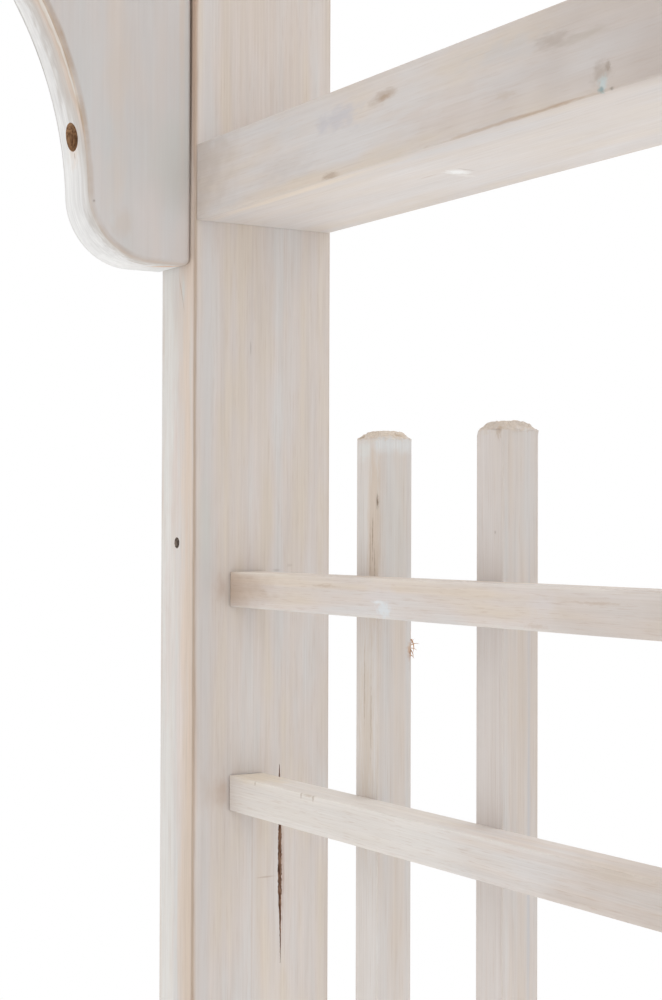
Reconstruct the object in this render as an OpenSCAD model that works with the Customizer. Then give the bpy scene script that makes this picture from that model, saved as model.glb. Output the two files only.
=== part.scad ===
// Garden arch: two trellis sides, four scrolled corner brackets and a roof of rafters on two lintels.
// X runs across the walkway, Y along it and Z up. The origin is on the ground, midway between the feet.
// Each piece is drawn at the back right corner or on the right side, and mirrored to its place.

/* [Walkway] */
// Clear width between the left and the right posts
walk_w = 1200; // [900:10:1800]
// Clear distance between the front and the back posts
side_d = 600; // [560:10:1000]
// Height of the posts, which carry the lintels
post_h = 1976; // [1900:2:2400]

/* [Post and lintel timber] */
// Width of the timber
stock_w = 85; // [75:1:120]
// Thickness of the timber
stock_t = 40; // [36:1:60]
// Radius of the eased edges of posts, lintels and side rails
edge_r = 1; // [0.5:0.5:5]

/* [Side rails] */
// Height of the underside of a rail above the lower tips of the brackets
rail_above_tip = 24; // [10:1:35]
// Thickness of the rails
rail_t = 41; // [30:1:60]
// Set-back of the rails' long faces behind the faces of the posts
rail_inset = 1; // [0.5:0.5:5]

/* [Trellis] */
// Side of the square uprights
upright_w = 20; // [16:1:24]
// Height of a crossbar
crossbar_h = 19; // [16:1:24]
// Depth of a crossbar, square to the side of the arch
crossbar_w = 21; // [16:1:24]
// Gap between a post and the nearest upright
first_gap = 96; // [70:1:110]
// Gap between the two uprights of a pair
pair_gap = 83; // [60:1:95]
// Height from one crossbar of a pair to the other
bar_pitch = 110; // [80:1:160]
// Drop from the underside of a rail to the top of the highest crossbar
top_drop = 189; // [160:1:260]
// Height of the underside of the lowest crossbar
low_bar_z = 172; // [120:1:300]
// Length of an upright past the outermost crossbars
upright_tip = 72; // [40:1:100]
// Chamfer on the ends of the uprights
tip_chamfer = 3.5; // [2:0.5:6]

/* [Brackets] */
// Height and width of a bracket
bracket_leg = 300; // [240:5:380]
// Thickness of the bracket board, which lies flush with the outer faces of post and lintel
bracket_t = 36; // [24:1:36]
// Width of the lobe at each tip of a bracket
lobe_w = 59; // [50:1:90]
// Radius of the round corner of a lobe
lobe_r = 37; // [20:1:45]
// Radius of the curved edge between the two lobes
curve_r = 212; // [200:1:260]
// Distance of a bracket screw from the nearer tip
bracket_screw_at = 65.5; // [56:0.5:90]
// Wood left under the counterbore of a bracket screw
bracket_floor = 32; // [20:1:40]

/* [Roof] */
// Length of a lintel past the outer face of a post
lintel_over = 150; // [130:5:300]
// Number of rafters
rafter_count = 7; // [5:1:11]
// Distance from the tip of a lintel to the middle of the last rafter
rafter_end = 115; // [90:1:130]
// Thickness of a rafter
rafter_t = 24; // [18:1:30]
// Height of a rafter
rafter_h = 70; // [60:1:100]
// Length of a rafter past the outer face of a lintel
rafter_over = 110; // [80:5:200]
// Depth of the notch that seats a rafter on a lintel
notch = 20; // [10:1:30]
// Height of the square end above the curve of a lintel tip
lintel_nib = 32; // [25:1:35]
// Radius of the round nose of a lintel tip
lintel_nose = 26; // [15:1:30]
// Height of the square end above the curve of a rafter tip
rafter_nib = 30; // [25:1:35]
// Radius of the round nose of a rafter tip
rafter_nose = 19; // [10:1:22]

/* [Screws] */
// Diameter of the counterbores that hide a screw head
bore_d = 15; // [14:0.5:18]
// Clearance round a screw in its hole
screw_gap = 0.15; // [0.1:0.05:0.3]
// Diameter of the bracket screws
bracket_screw_d = 5; // [4:0.5:6]
// Length of a bracket screw in the post or lintel
bracket_bite = 38; // [25:1:45]
// Diameter of the side rail screws
rail_screw_d = 5; // [4:0.5:6]
// Length of a side rail screw in the end of the rail
rail_bite = 60; // [40:1:80]
// Diameter of the crossbar screws
bar_screw_d = 4; // [3:0.5:5]
// Length of a crossbar screw in the end of the bar
bar_bite = 30; // [20:1:50]
// Diameter of the screws that hold the uprights to the crossbars
upright_screw_d = 3.5; // [3:0.5:4]
// Length of an upright's screw in the crossbar
upright_bite = 12; // [8:1:14]
// Diameter of the lintel screws
lintel_screw_d = 6; // [5:0.5:7]
// Length of a lintel screw in the top of the post
lintel_bite = 70; // [50:1:100]
// Depth of the counterbore above a lintel screw
lintel_bore = 15; // [10:1:25]
// Diameter of the rafter screws
rafter_screw_d = 5; // [4:0.5:6]
// Length of a rafter screw in the lintel
rafter_bite = 30; // [20:1:40]

/* [Wire eye hole] */
// Diameter of the hole for a screw eye in the walkway face of each post
eye_d = 6; // [4:0.5:8]
// Depth of the hole
eye_depth = 30; // [20:1:50]
// Height of the hole above the top of the highest crossbar
eye_above_bar = 15.5; // [8:0.5:60]

/* [Hidden] */
$fn = 64;
SIDES = [["left", -1], ["right", 1]];
ENDS = [["front", -1], ["back", 1]];
UPRIGHTS = [1, 2, 3, 4];
CROSSBARS = [1, 2, 3, 4, 5, 6];
RAFTERS = [for (i = [1 : rafter_count]) i];

whitewash = "#d8d2cb";
pale_board = "#d3d0cc";
zinc = "#a9aaa8";

// Faces of the right and back posts that the other pieces meet, and the middle of their thickness
post_x = walk_w / 2;
post_y = side_d / 2;
post_mid_y = post_y + stock_t / 2;
bracket_mid_y = post_y + stock_t - bracket_t / 2;

// The crossbars and the uprights behind them are centred in the width of the posts
bar_x = post_x + (stock_w - crossbar_w - upright_w) / 2;
upright_x = bar_x + crossbar_w;

// Heights of the undersides of the crossbars, from the top one down, with the second pair midway
rail_z = post_h - bracket_leg + rail_above_tip;
high_bar_z = rail_z - top_drop - crossbar_h;
mid_z = (high_bar_z + low_bar_z) / 2;
BAR_Z = [
    high_bar_z, high_bar_z - bar_pitch,
    mid_z + bar_pitch / 2, mid_z - bar_pitch / 2,
    low_bar_z + bar_pitch, low_bar_z
];

// Middles of the uprights along Y: one pair beside each post
near_y = post_y - first_gap - upright_w / 2;
far_y = near_y - upright_w - pair_gap;
UPRIGHT_Y = [-near_y, -far_y, far_y, near_y];
upright_z = low_bar_z - upright_tip;
upright_len = high_bar_z + crossbar_h + upright_tip - upright_z;

// Bracket outline, in its own axes: the centre of the lower lobe, the centre of the curve, which lies on the
// diagonal and touches both lobes, and the level where the lower lobe and the curve touch
lobe_x = lobe_w - lobe_r;
lobe_y = bracket_leg - lobe_r;
curve_at = (lobe_x + lobe_y) / 2 + sqrt(pow(curve_r + lobe_r, 2) / 2 - pow((lobe_y - lobe_x) / 2, 2));
meet_y = lobe_y + (curve_at - lobe_y) * lobe_r / (curve_r + lobe_r);

lintel_top = post_h + stock_w;
lintel_half = post_x + stock_w + lintel_over;
rafter_z = lintel_top - notch;
rafter_half = post_y + stock_t + rafter_over;
RAFTER_X = [for (i = RAFTERS) (lintel_half - rafter_end) * (2 * (i - 1) / (rafter_count - 1) - 1)];

// Two screws share the width of a post, at a quarter of it from each edge
SCREW_X = [post_x + stock_w / 4, post_x + stock_w * 3 / 4];

// Mirrors its children from the back right corner to the corner of the given signs
module corner(sx, sy) mirror([sx < 0 ? 1 : 0, 0, 0]) mirror([0, sy < 0 ? 1 : 0, 0]) children();

module at_corners() for (sx = [-1, 1], sy = [-1, 1]) corner(sx, sy) children();

// Rectangle with eased corners, from the origin
module eased_rect(w, t) {
    translate([edge_r, 0]) square([w - 2 * edge_r, t]);
    translate([0, edge_r]) square([w, t - 2 * edge_r]);
    for (x = [edge_r, w - edge_r], y = [edge_r, t - edge_r]) translate([x, y]) circle(r = edge_r);
}

// Wood cut from the lower corner of a tip, at the origin: a round nose, and a cove from there up to the nib
module scroll_cut(nose, cove) {
    translate([0, nose]) circle(r = cove);
    difference() {
        translate([-nose - cove, -1]) square([nose + cove + 1, nose + 1]);
        translate([-nose - cove, nose]) circle(r = nose);
    }
}

// Countersunk screw with its head flush with z = 0 and its point down, or its hole where gap is above 0
module countersunk(d, len, gap = 0) {
    shank = d / 2 + gap;
    head = d + gap;
    mouth = gap > 0 ? 1 : 0;
    rotate_extrude() polygon([
        [0, mouth], [head, mouth], [head, 0], [shank, -d / 2],
        [shank, d - len], [d / 10, -len - gap], [0, -len - gap]
    ]);
}

// Pan head screw with its head standing on z = 0 and its point down, or the hole of its shank
module pan_screw(d, len, gap = 0) {
    shank = d / 2 + gap;
    head_h = d * 3 / 5;
    rotate_extrude() polygon([
        [0, head_h], [d, head_h], [d, 0], [shank, 0],
        [shank, d - len], [d / 10, -len - gap], [0, -len - gap]
    ]);
}

// The screws below stand at the back right corner, and are their own holes where gap is above 0.
// Two through the post into the side rail
module rail_screws(gap = 0)
    for (x = SCREW_X) translate([x, post_y + stock_t, rail_z + rail_t / 2])
        rotate([-90, 0, 0]) countersunk(rail_screw_d, stock_t + rail_bite, gap);

// One through the post into the end of each crossbar
module bar_screws(gap = 0)
    for (z = BAR_Z) translate([bar_x + crossbar_w / 2, post_y + stock_t, z + crossbar_h / 2])
        rotate([-90, 0, 0]) countersunk(bar_screw_d, stock_t + bar_bite, gap);

// One through each upright into each crossbar, along the whole side
module upright_screws(gap = 0)
    for (y = UPRIGHT_Y, z = BAR_Z) translate([upright_x + upright_w, y, z + crossbar_h / 2])
        rotate([0, 90, 0]) countersunk(upright_screw_d, upright_w + upright_bite, gap);

// Floors of the two counterbores of a bracket: one faces the walkway, the other the ground
module at_bracket_floors() {
    translate([post_x - bracket_floor, bracket_mid_y, post_h - bracket_leg + bracket_screw_at])
        rotate([0, -90, 0]) children();
    translate([post_x - bracket_leg + bracket_screw_at, bracket_mid_y, post_h - bracket_floor])
        rotate([180, 0, 0]) children();
}

// One through the bracket into the post, and one up into the lintel
module bracket_screws(gap = 0)
    at_bracket_floors() pan_screw(bracket_screw_d, bracket_floor + bracket_bite, gap);

// Floors of the two counterbores in the top of a lintel, over the post
module at_lintel_floors() for (x = SCREW_X) translate([x, post_mid_y, lintel_top - lintel_bore]) children();

// Two down through the lintel into the top of the post
module lintel_screws(gap = 0)
    at_lintel_floors() pan_screw(lintel_screw_d, stock_w - lintel_bore + lintel_bite, gap);

// One down through each rafter into the lintel, along the whole roof
module rafter_screws(gap = 0)
    for (x = RAFTER_X) translate([x, post_mid_y, rafter_z + rafter_h])
        countersunk(rafter_screw_d, rafter_h - notch + rafter_bite, gap);

module post(sx, sy) color(whitewash) corner(sx, sy) difference() {
    translate([post_x, post_y, 0]) linear_extrude(post_h) eased_rect(stock_w, stock_t);
    rail_screws(screw_gap);
    bar_screws(screw_gap);
    bracket_screws(screw_gap);
    lintel_screws(screw_gap);
    translate([post_x - 1, post_mid_y, high_bar_z + crossbar_h + eye_above_bar])
        rotate([0, 90, 0]) cylinder(h = eye_depth + 1, d = eye_d);
}

// Outline of a bracket from its corner at the origin: x runs away from the post, y down from the lintel
module bracket_outline() difference() {
    square(bracket_leg);
    translate([curve_at, curve_at]) circle(r = curve_r);
    for (turn = [0, 1]) mirror([turn, -turn]) beyond_lobe();
}

// Wood cut away round the lower lobe, from the level where the curve touches it
module beyond_lobe() difference() {
    translate([lobe_x, meet_y]) square(bracket_leg);
    translate([lobe_x, lobe_y]) circle(r = lobe_r);
}

module bracket(sx, sy) color(pale_board) corner(sx, sy) difference() {
    translate([post_x, post_y + stock_t, post_h])
        rotate([90, 0, 0]) linear_extrude(bracket_t) mirror([1, 0]) mirror([0, 1]) bracket_outline();
    bracket_screws(screw_gap);
    at_bracket_floors() cylinder(h = bracket_leg, d = bore_d);
}

module lintel(sy) color(whitewash) corner(1, sy) difference() {
    translate([-lintel_half, post_y, post_h])
        rotate([90, 0, 90]) linear_extrude(2 * lintel_half) eased_rect(stock_t, stock_w);
    for (sx = [-1, 1]) corner(sx, 1) {
        translate([lintel_half, post_y + stock_t + 1, post_h]) rotate([90, 0, 0])
            linear_extrude(stock_t + 2) scroll_cut(lintel_nose, stock_w - lintel_nib - lintel_nose);
        bracket_screws(screw_gap);
        lintel_screws(screw_gap);
        at_lintel_floors() cylinder(h = lintel_bore + 1, d = bore_d);
    }
    rafter_screws(screw_gap);
}

module side_rail(sx) color(whitewash) corner(sx, 1) difference() {
    translate([post_x + rail_inset, post_y, rail_z])
        rotate([90, 0, 0]) linear_extrude(side_d) eased_rect(stock_w - 2 * rail_inset, rail_t);
    for (sy = [-1, 1]) corner(1, sy) rail_screws(screw_gap);
}

module crossbar(sx, i) color(whitewash) corner(sx, 1) difference() {
    translate([bar_x, -post_y, BAR_Z[i - 1]]) cube([crossbar_w, side_d, crossbar_h]);
    for (sy = [-1, 1]) corner(1, sy) bar_screws(screw_gap);
    upright_screws(screw_gap);
}

// Outline of an upright from the side, standing on the origin
module upright_outline() {
    h = upright_w / 2;
    c = tip_chamfer;
    polygon([
        [c - h, 0], [h - c, 0], [h, c], [h, upright_len - c],
        [h - c, upright_len], [c - h, upright_len], [-h, upright_len - c], [-h, c]
    ]);
}

module upright(sx, i) color(whitewash) corner(sx, 1) difference() {
    translate([upright_x + upright_w / 2, UPRIGHT_Y[i - 1], upright_z]) intersection() {
        rotate([90, 0, 0]) linear_extrude(upright_w, center = true) upright_outline();
        rotate([90, 0, 90]) linear_extrude(upright_w, center = true) upright_outline();
    }
    upright_screws(screw_gap);
}

// Outline of a rafter from the side, with its underside on the x axis
module rafter_outline() difference() {
    translate([-rafter_half, 0]) square([2 * rafter_half, rafter_h]);
    for (turn = [0, 1]) mirror([turn, 0]) {
        translate([post_y, -1]) square([stock_t, notch + 1]);
        translate([rafter_half, 0]) scroll_cut(rafter_nose, rafter_h - rafter_nib - rafter_nose);
    }
}

module rafter(i) color(whitewash) difference() {
    translate([RAFTER_X[i - 1] - rafter_t / 2, 0, rafter_z])
        rotate([90, 0, 90]) linear_extrude(rafter_t) rafter_outline();
    for (sy = [-1, 1]) corner(1, sy) rafter_screws(screw_gap);
}

for (e = ENDS, s = SIDES)
    post(s[1], e[1]);
for (e = ENDS, s = SIDES)
    bracket(s[1], e[1]);
for (e = ENDS)
    lintel(e[1]);
for (s = SIDES)
    side_rail(s[1]);
for (s = SIDES, i = CROSSBARS)
    crossbar(s[1], i);
for (s = SIDES, i = UPRIGHTS)
    upright(s[1], i);
for (i = RAFTERS)
    rafter(i);
color(zinc) at_corners() bracket_screws();
color(zinc) at_corners() rail_screws();  // side_rail_screws
color(zinc) at_corners() bar_screws();  // crossbar_screws
color(zinc) for (sx = [-1, 1]) corner(sx, 1) upright_screws();
color(zinc) at_corners() lintel_screws();
color(zinc) for (sy = [-1, 1]) corner(1, sy) rafter_screws();
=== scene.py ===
"""The looks of a whitewashed timber garden arch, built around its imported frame.

Each sub-assembly is a class that builds its meshes in the frame's own place and dresses them, and each
finish is a small class that makes one material. Meshes are in metres. A size whose name ends in _mm is in
millimetres.
"""

import logging
import math
from collections.abc import Iterable, Sequence
from dataclasses import dataclass, field
from enum import Enum

import bmesh
import bpy
import numpy as np
from bmesh.types import BMesh, BMFace, BMVert
from bpy.types import Material, Mesh, Node, NodeTree, Object
from mathutils import Matrix, Vector


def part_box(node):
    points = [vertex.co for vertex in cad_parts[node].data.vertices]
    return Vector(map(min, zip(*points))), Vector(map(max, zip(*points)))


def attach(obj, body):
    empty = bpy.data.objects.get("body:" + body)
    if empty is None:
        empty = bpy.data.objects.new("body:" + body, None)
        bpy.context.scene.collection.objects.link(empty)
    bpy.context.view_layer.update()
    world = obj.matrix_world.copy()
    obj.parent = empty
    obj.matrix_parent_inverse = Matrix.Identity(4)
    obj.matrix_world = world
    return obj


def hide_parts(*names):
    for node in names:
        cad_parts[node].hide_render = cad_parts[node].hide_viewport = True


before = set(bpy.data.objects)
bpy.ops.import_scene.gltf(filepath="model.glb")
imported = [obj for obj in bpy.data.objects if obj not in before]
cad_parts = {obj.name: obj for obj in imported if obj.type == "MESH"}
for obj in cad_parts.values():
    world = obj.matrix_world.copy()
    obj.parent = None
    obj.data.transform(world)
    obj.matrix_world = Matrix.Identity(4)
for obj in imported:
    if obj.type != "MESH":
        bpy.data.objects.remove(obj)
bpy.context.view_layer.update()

LOG = logging.getLogger("garden_arch")
MM = 0.001
BODY = "root"
SIDES = {"left": -1, "right": 1}
ENDS = {"front": -1, "back": 1}
SHARP_ANGLE = math.radians(32)
# In metres: points so near become one, a side so short has no length, and a screw so near sits on a face.
WELD = 1e-6
NO_LENGTH = 1e-9
TOUCH = 1e-5
# Two sides are parallel where their directions cross by less than this.
PARALLEL = 1e-6
Pair = tuple[float, float]
Spot = tuple[float, float, float]


class Axis(Enum):
    """The axis of the fibres, or the one that an outline is carried along, as an order that puts it last."""

    X = (1, 2, 0)
    Y = (0, 2, 1)
    Z = (0, 1, 2)


class Pattern(Enum):
    """Noise along the fibres: a streak's width and length in millimetres, the finer octaves, and a shift."""

    WANDER = (55, 420, 1.0, 0.0)
    RING_WIDTH = (7, 400, 2.0, 3.7)
    RING_STRENGTH = (14, 300, 1.0, 8.8)
    STREAK = (3.0, 240, 2.0, 7.1)
    CLOUD = (24, 100, 3.0, 9.4)
    DRIFT = (16, 80, 2.0, 6.6)
    PATCH = (30, 60, 3.0, 2.9)


def linear(code: str) -> tuple[float, float, float, float]:
    """Turns an sRGB colour into the linear colour that a shader takes.

    Args:
        code: The colour as six hex digits after a #.

    Returns:
        Red, green and blue in linear light, and an alpha of 1.
    """
    parts = [int(code[i:i + 2], 16) / 255 for i in (1, 3, 5)]
    red, green, blue = (c / 12.92 if c <= 0.04045 else ((c + 0.055) / 1.055) ** 2.4 for c in parts)
    return red, green, blue, 1.0


def add(tree: NodeTree, kind: str, inputs: dict | Sequence = (), **settings: object) -> Node:
    """Adds a node, sets its properties and fills its sockets.

    Args:
        tree: The tree that the node goes in.
        kind: The node's type in Blender, without ShaderNode where it starts so.
        inputs: A constant, a node or a node's output for each socket in use, by name or in their order. A
            noise takes its point, scale, detail and roughness, a mix its factor and two colours, and a map
            range its value, the two ends of the range that the value is in and the two of the new one.
        settings: The node's own properties.

    Returns:
        The node. Where it stands as an input of another, its first output in use is meant.
    """
    node = tree.nodes.new(kind if "Node" in kind else "ShaderNode" + kind)
    for name, value in settings.items():
        setattr(node, name, value)
    for key, value in inputs.items() if isinstance(inputs, dict) else enumerate(inputs):
        used = [s for s in node.inputs if s.enabled]
        socket = used[key] if isinstance(key, int) else next(s for s in used if s.name == key)
        if isinstance(value, Node):
            value = next(s for s in value.outputs if s.enabled)
        if isinstance(value, bpy.types.NodeSocket):
            tree.links.new(value, socket)
        else:
            socket.default_value = value
    return node


def set_stops(ramp: Node, stops: Sequence[tuple[float, str | float]]) -> None:
    """Gives a colour ramp its stops.

    Args:
        ramp: The ramp.
        stops: The place of each, in order, with its colour or, for a grey, its brightness.
    """
    made = ramp.color_ramp.elements
    made[0].position, made[1].position = stops[0][0], stops[-1][0]
    for place, tone in stops:
        there = [stop for stop in made if math.isclose(stop.position, place, abs_tol=1e-6)]
        stop = there[0] if there else made.new(place)
        stop.color = linear(tone) if isinstance(tone, str) else (tone, tone, tone, 1)


def new_material(name: str) -> tuple[Material, NodeTree]:
    """Starts a material.

    Args:
        name: Its name.

    Returns:
        The material and its empty tree.
    """
    made = bpy.data.materials.new(name)
    made.use_nodes = True
    made.node_tree.nodes.clear()
    return made, made.node_tree


@dataclass(frozen=True)
class Blemish:
    """A patch on one piece where the glaze, the wood or the filler differs from what is round it, or where
    shade or light is painted.

    Attributes:
        at: Its middle in the frame, in millimetres.
        reach: Its half size along X, Y and Z, in millimetres.
        colour: What shows in it.
        strength: How much of that shows, from 0 to 1.
        ragged: How uneven its rim is, as a share of its size.
        fray: Length of the unevenness along X, Y and Z, in millimetres.
        lean: How far it moves along X, Y and Z for each millimetre along its longest axis.
        core: The share of its size that shows it in full. From there it fades to its rim.
    """

    at: Spot
    reach: Spot
    colour: str
    strength: float = 0.6
    ragged: float = 0.5
    fray: Spot = (3.0, 3.0, 3.0)
    lean: Spot = (0.0, 0.0, 0.0)
    core: float = 0.1

    def over(self, tree: NodeTree, place: Node, colour: Node) -> Node:
        """Lays the patch over a colour.

        Args:
            tree: The material's tree.
            place: The point of the surface in the frame, in millimetres.
            colour: The colour so far.

        Returns:
            The node that gives the new colour.
        """
        apart = add(tree, "VectorMath", (place, self.at), operation="SUBTRACT")
        if any(self.lean):
            along = add(tree, "SeparateXYZ", (apart,)).outputs[self.reach.index(max(self.reach))]
            back = tuple(-share for share in self.lean)
            apart = add(tree, "VectorMath", (along, back, apart), operation="MULTIPLY_ADD")
        shares = add(tree, "VectorMath", (apart, self.reach), operation="DIVIDE")
        away = add(tree, "VectorMath", (shares,), operation="LENGTH").outputs["Value"]
        spread = add(tree, "VectorMath", (place, self.fray), operation="DIVIDE")
        rim = add(tree, "TexNoise", (spread, 1.0, 2.0))
        frayed = add(tree, "Math", (rim, 2 * self.ragged, -self.ragged), operation="MULTIPLY_ADD")
        total = add(tree, "Math", (away, frayed), operation="ADD")
        share = add(tree, "MapRange", (total, 1.0, self.core, 0.0, self.strength),
                    interpolation_type="SMOOTHSTEP")
        return add(tree, "Mix", (share, colour, linear(self.colour)), data_type="RGBA")


@dataclass(frozen=True)
class Whitewash:
    """Planed softwood under a thin white glaze, brushed on along the fibres.

    The eye gets a matt, milky surface, almost even, in which soft clouds and bands of cool grey, pink and
    straw follow the fibres, with many faint straight lines in them and only a breath of growth rings. Each
    mesh carries the place of its own tree's middle as the attribute log, and how near an arris is as wear.

    Attributes:
        cover: How well the glaze hides the wood, from 0 to 1.
        ring_mm: Width of a year's ring.
        cloudy: The share of the glaze's colour that lies in clouds. The rest lies in bands.
        flecks: How much of the dark wood the pores show.
        fleck_mm: Width and length of a pore.
        ends_bare: How much thinner the glaze is on end grain.
        tints: Patches in the glaze itself, and painted light that is laid in with them.
        blemishes: Patches on top of everything else.
    """

    name: str
    grain: Axis
    cool: str = "#d3cfcd"
    middle: str = "#d4ccc6"
    warm: str = "#d5cabd"
    early: str = "#c8ab8c"
    late: str = "#a9876a"
    cover: float = 0.96
    ring_mm: float = 2.6
    rings_show: float = 0.03
    band_mm: float = 9.0
    cloudy: float = 0.5
    streaks_show: float = 0.05
    fibres_show: float = 0.14
    clouds_show: float = 0.06
    fibre_mm: float = 1.1
    fibre_tone: float = 0.16
    streak_tone: float = 0.10
    cloud_tone: float = 0.10
    flecks: float = 0.10
    fleck_mm: Pair = (0.9, 16.0)
    arris: str = "#bfa995"
    arris_share: float = 0.3
    ends_bare: float = 0.30
    tints: tuple[Blemish, ...] = ()
    blemishes: tuple[Blemish, ...] = ()

    def drawn(self, tree: NodeTree, point: Node, across: float, along: float, detail: float = 2.0,
              shift: float = 0.0) -> Node:
        """Noise that is drawn out along the fibres.

        Args:
            tree: The material's tree.
            point: The point in the log, in millimetres, with the fibres along its Z.
            across: Width of a streak in millimetres.
            along: Length of a streak in millimetres.
            detail: How many finer octaves it has.
            shift: A shift that keeps two such patterns apart.

        Returns:
            The noise node, whose value has its middle at 0.5.
        """
        scaled = add(tree, "VectorMath", (point, (1 / across, 1 / across, 1 / along), (shift, shift, shift)),
                     operation="MULTIPLY_ADD")
        return add(tree, "TexNoise", (scaled, 1.0, detail, 0.55))

    def in_log(self, tree: NodeTree, place: Node) -> Node:
        """Turns a point of the frame into a point of the tree that the piece was sawn from.

        Args:
            tree: The material's tree.
            place: The point in the frame, in millimetres.

        Returns:
            The node that gives the point, with the fibres along Z and the tree's middle at X = Y = 0.
        """
        split = add(tree, "SeparateXYZ", (place,))
        turned = add(tree, "CombineXYZ", [split.outputs[axis] for axis in self.grain.value])
        log = add(tree, "Attribute", attribute_name="log")
        return add(tree, "VectorMath", (turned, log.outputs["Vector"]), operation="SUBTRACT")

    def rings(self, tree: NodeTree, point: Node) -> Node:
        """Growth rings of uneven width, cut by the piece's faces as a saw cuts them.

        Args:
            tree: The material's tree.
            point: The point in the log, in millimetres.

        Returns:
            The node that gives 0 in the pale early wood and 1 in the dark late wood of a ring.
        """
        wander = self.drawn(tree, point, *Pattern.WANDER.value)
        sway = add(tree, "VectorMath", (wander.outputs["Color"], (0.5, 0.5, 0.5)), operation="SUBTRACT")
        swayed = add(tree, "VectorMath", (sway, (22, 22, 0), point), operation="MULTIPLY_ADD")
        flat = add(tree, "VectorMath", (swayed, (1, 1, 0)), operation="MULTIPLY")
        radius = add(tree, "VectorMath", (flat,), operation="LENGTH").outputs["Value"]
        uneven = self.drawn(tree, point, *Pattern.RING_WIDTH.value)
        wide = add(tree, "Math", (uneven, 4.0), operation="MULTIPLY")
        years = add(tree, "Math", (radius, 1 / self.ring_mm, wide), operation="MULTIPLY_ADD")
        year = add(tree, "Math", (years,), operation="FRACT")
        ramp = add(tree, "ValToRGB", (year,))
        ramp.color_ramp.interpolation = "EASE"
        set_stops(ramp, ((0.0, 0), (0.75, 1), (1.0, 0)))
        clear = self.drawn(tree, point, *Pattern.RING_STRENGTH.value)
        strength = add(tree, "MapRange", (clear, 0.38, 0.68))
        return add(tree, "Math", (ramp, strength), operation="MULTIPLY")

    def at_ends(self, tree: NodeTree) -> Node:
        """Where a face is cut across the fibres.

        Args:
            tree: The material's tree.

        Returns:
            The node that gives 1 on end grain and 0 along the fibres.
        """
        parts = add(tree, "SeparateXYZ", (add(tree, "NewGeometry").outputs["Normal"],))
        facing = add(tree, "Math", (parts.outputs[self.grain.value[2]],), operation="ABSOLUTE")
        return add(tree, "MapRange", (facing, 0.55, 0.95))

    def toned(self, tree: NodeTree, colour: Node, parts: Sequence[tuple[Node, float]]) -> Node:
        """Makes a colour a little lighter and darker, as the glaze lies thicker and thinner.

        Args:
            tree: The material's tree.
            colour: The colour so far.
            parts: Each noise that does it and its gain.

        Returns:
            The node that gives the new colour.
        """
        tone = add(tree, "Value")
        tone.outputs[0].default_value = 1.0 - sum(gain for _, gain in parts) / 2
        for noise, gain in parts:
            tone = add(tree, "Math", (noise, gain, tone), operation="MULTIPLY_ADD")
        return add(tree, "VectorMath", (colour, tone), operation="SCALE")

    def layers(self, tree: NodeTree, place: Node, colour: Node) -> Node:
        """Lays over the glaze what only some pieces have. A plain piece has nothing there."""
        return colour

    def material(self) -> Material:
        """Makes the material.

        Returns:
            The material, with its colour, roughness and bump from nodes.
        """
        made, tree = new_material(self.name)
        spot = add(tree, "TexCoord").outputs["Object"]
        place = add(tree, "VectorMath", (spot, 1000.0), operation="SCALE")
        point = self.in_log(tree, place)
        late = self.rings(tree, point)
        fibre = self.drawn(tree, point, self.fibre_mm, along=60, detail=2.0, shift=1.3)
        streak = self.drawn(tree, point, *Pattern.STREAK.value)
        cloud = self.drawn(tree, point, *Pattern.CLOUD.value)

        # The glaze's colour lies in bands along the fibres and in clouds.
        band = self.drawn(tree, point, self.band_mm, along=700, detail=1.5, shift=5.2)
        part = add(tree, "Math", (band, 1 - self.cloudy), operation="MULTIPLY")
        drift = self.drawn(tree, point, *Pattern.DRIFT.value)
        hue = add(tree, "Math", (drift, self.cloudy, part), operation="MULTIPLY_ADD")
        glaze = add(tree, "ValToRGB", (hue,))
        set_stops(glaze, ((0.38, self.cool), (0.5, self.middle), (0.62, self.warm)))
        for tint in self.tints:
            glaze = tint.over(tree, place, glaze)
        wood = add(tree, "Mix", (late, linear(self.early), linear(self.late)), data_type="RGBA")

        # Each source changes the cover by its gain, and changes nothing where it is at its last number.
        terms = ((streak, self.streaks_show, 0.5), (cloud, self.clouds_show, 0.5),
                 (fibre, self.fibres_show, 0.5), (late, -self.rings_show, 0.3),
                 (self.at_ends(tree), -self.ends_bare, 0.0))
        cover = add(tree, "Value")
        cover.outputs[0].default_value = self.cover
        for source, gain, middle in terms:
            moved = add(tree, "Math", (source, gain, -gain * middle), operation="MULTIPLY_ADD")
            cover = add(tree, "Math", (cover, moved), operation="ADD")
        cover.use_clamp = True
        colour = add(tree, "Mix", (cover, wood, glaze), data_type="RGBA")

        # Pores, the board's own layers, uneven tones, worn arrises and single marks, among them painted shade
        # and highlights, lie over it in turn.
        pores = self.drawn(tree, point, *self.fleck_mm, detail=2.0, shift=4.4)
        fleck = add(tree, "MapRange", (pores, 0.56, 0.70, 0.0, self.flecks))
        colour = add(tree, "Mix", (fleck, colour, linear(self.late)), data_type="RGBA")
        colour = self.layers(tree, place, colour)
        colour = self.toned(tree, colour, ((fibre, self.fibre_tone), (streak, self.streak_tone),
                                           (cloud, self.cloud_tone)))
        wear = add(tree, "Attribute", attribute_name="wear").outputs["Fac"]
        patches = self.drawn(tree, point, *Pattern.PATCH.value)
        patchy = add(tree, "MapRange", (patches, 0.35, 0.6, 0.0, self.arris_share))
        worn = add(tree, "Math", (wear, patchy), operation="MULTIPLY")
        colour = add(tree, "Mix", (worn, colour, linear(self.arris)), data_type="RGBA")
        for blemish in self.blemishes:
            colour = blemish.over(tree, place, colour)

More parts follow.
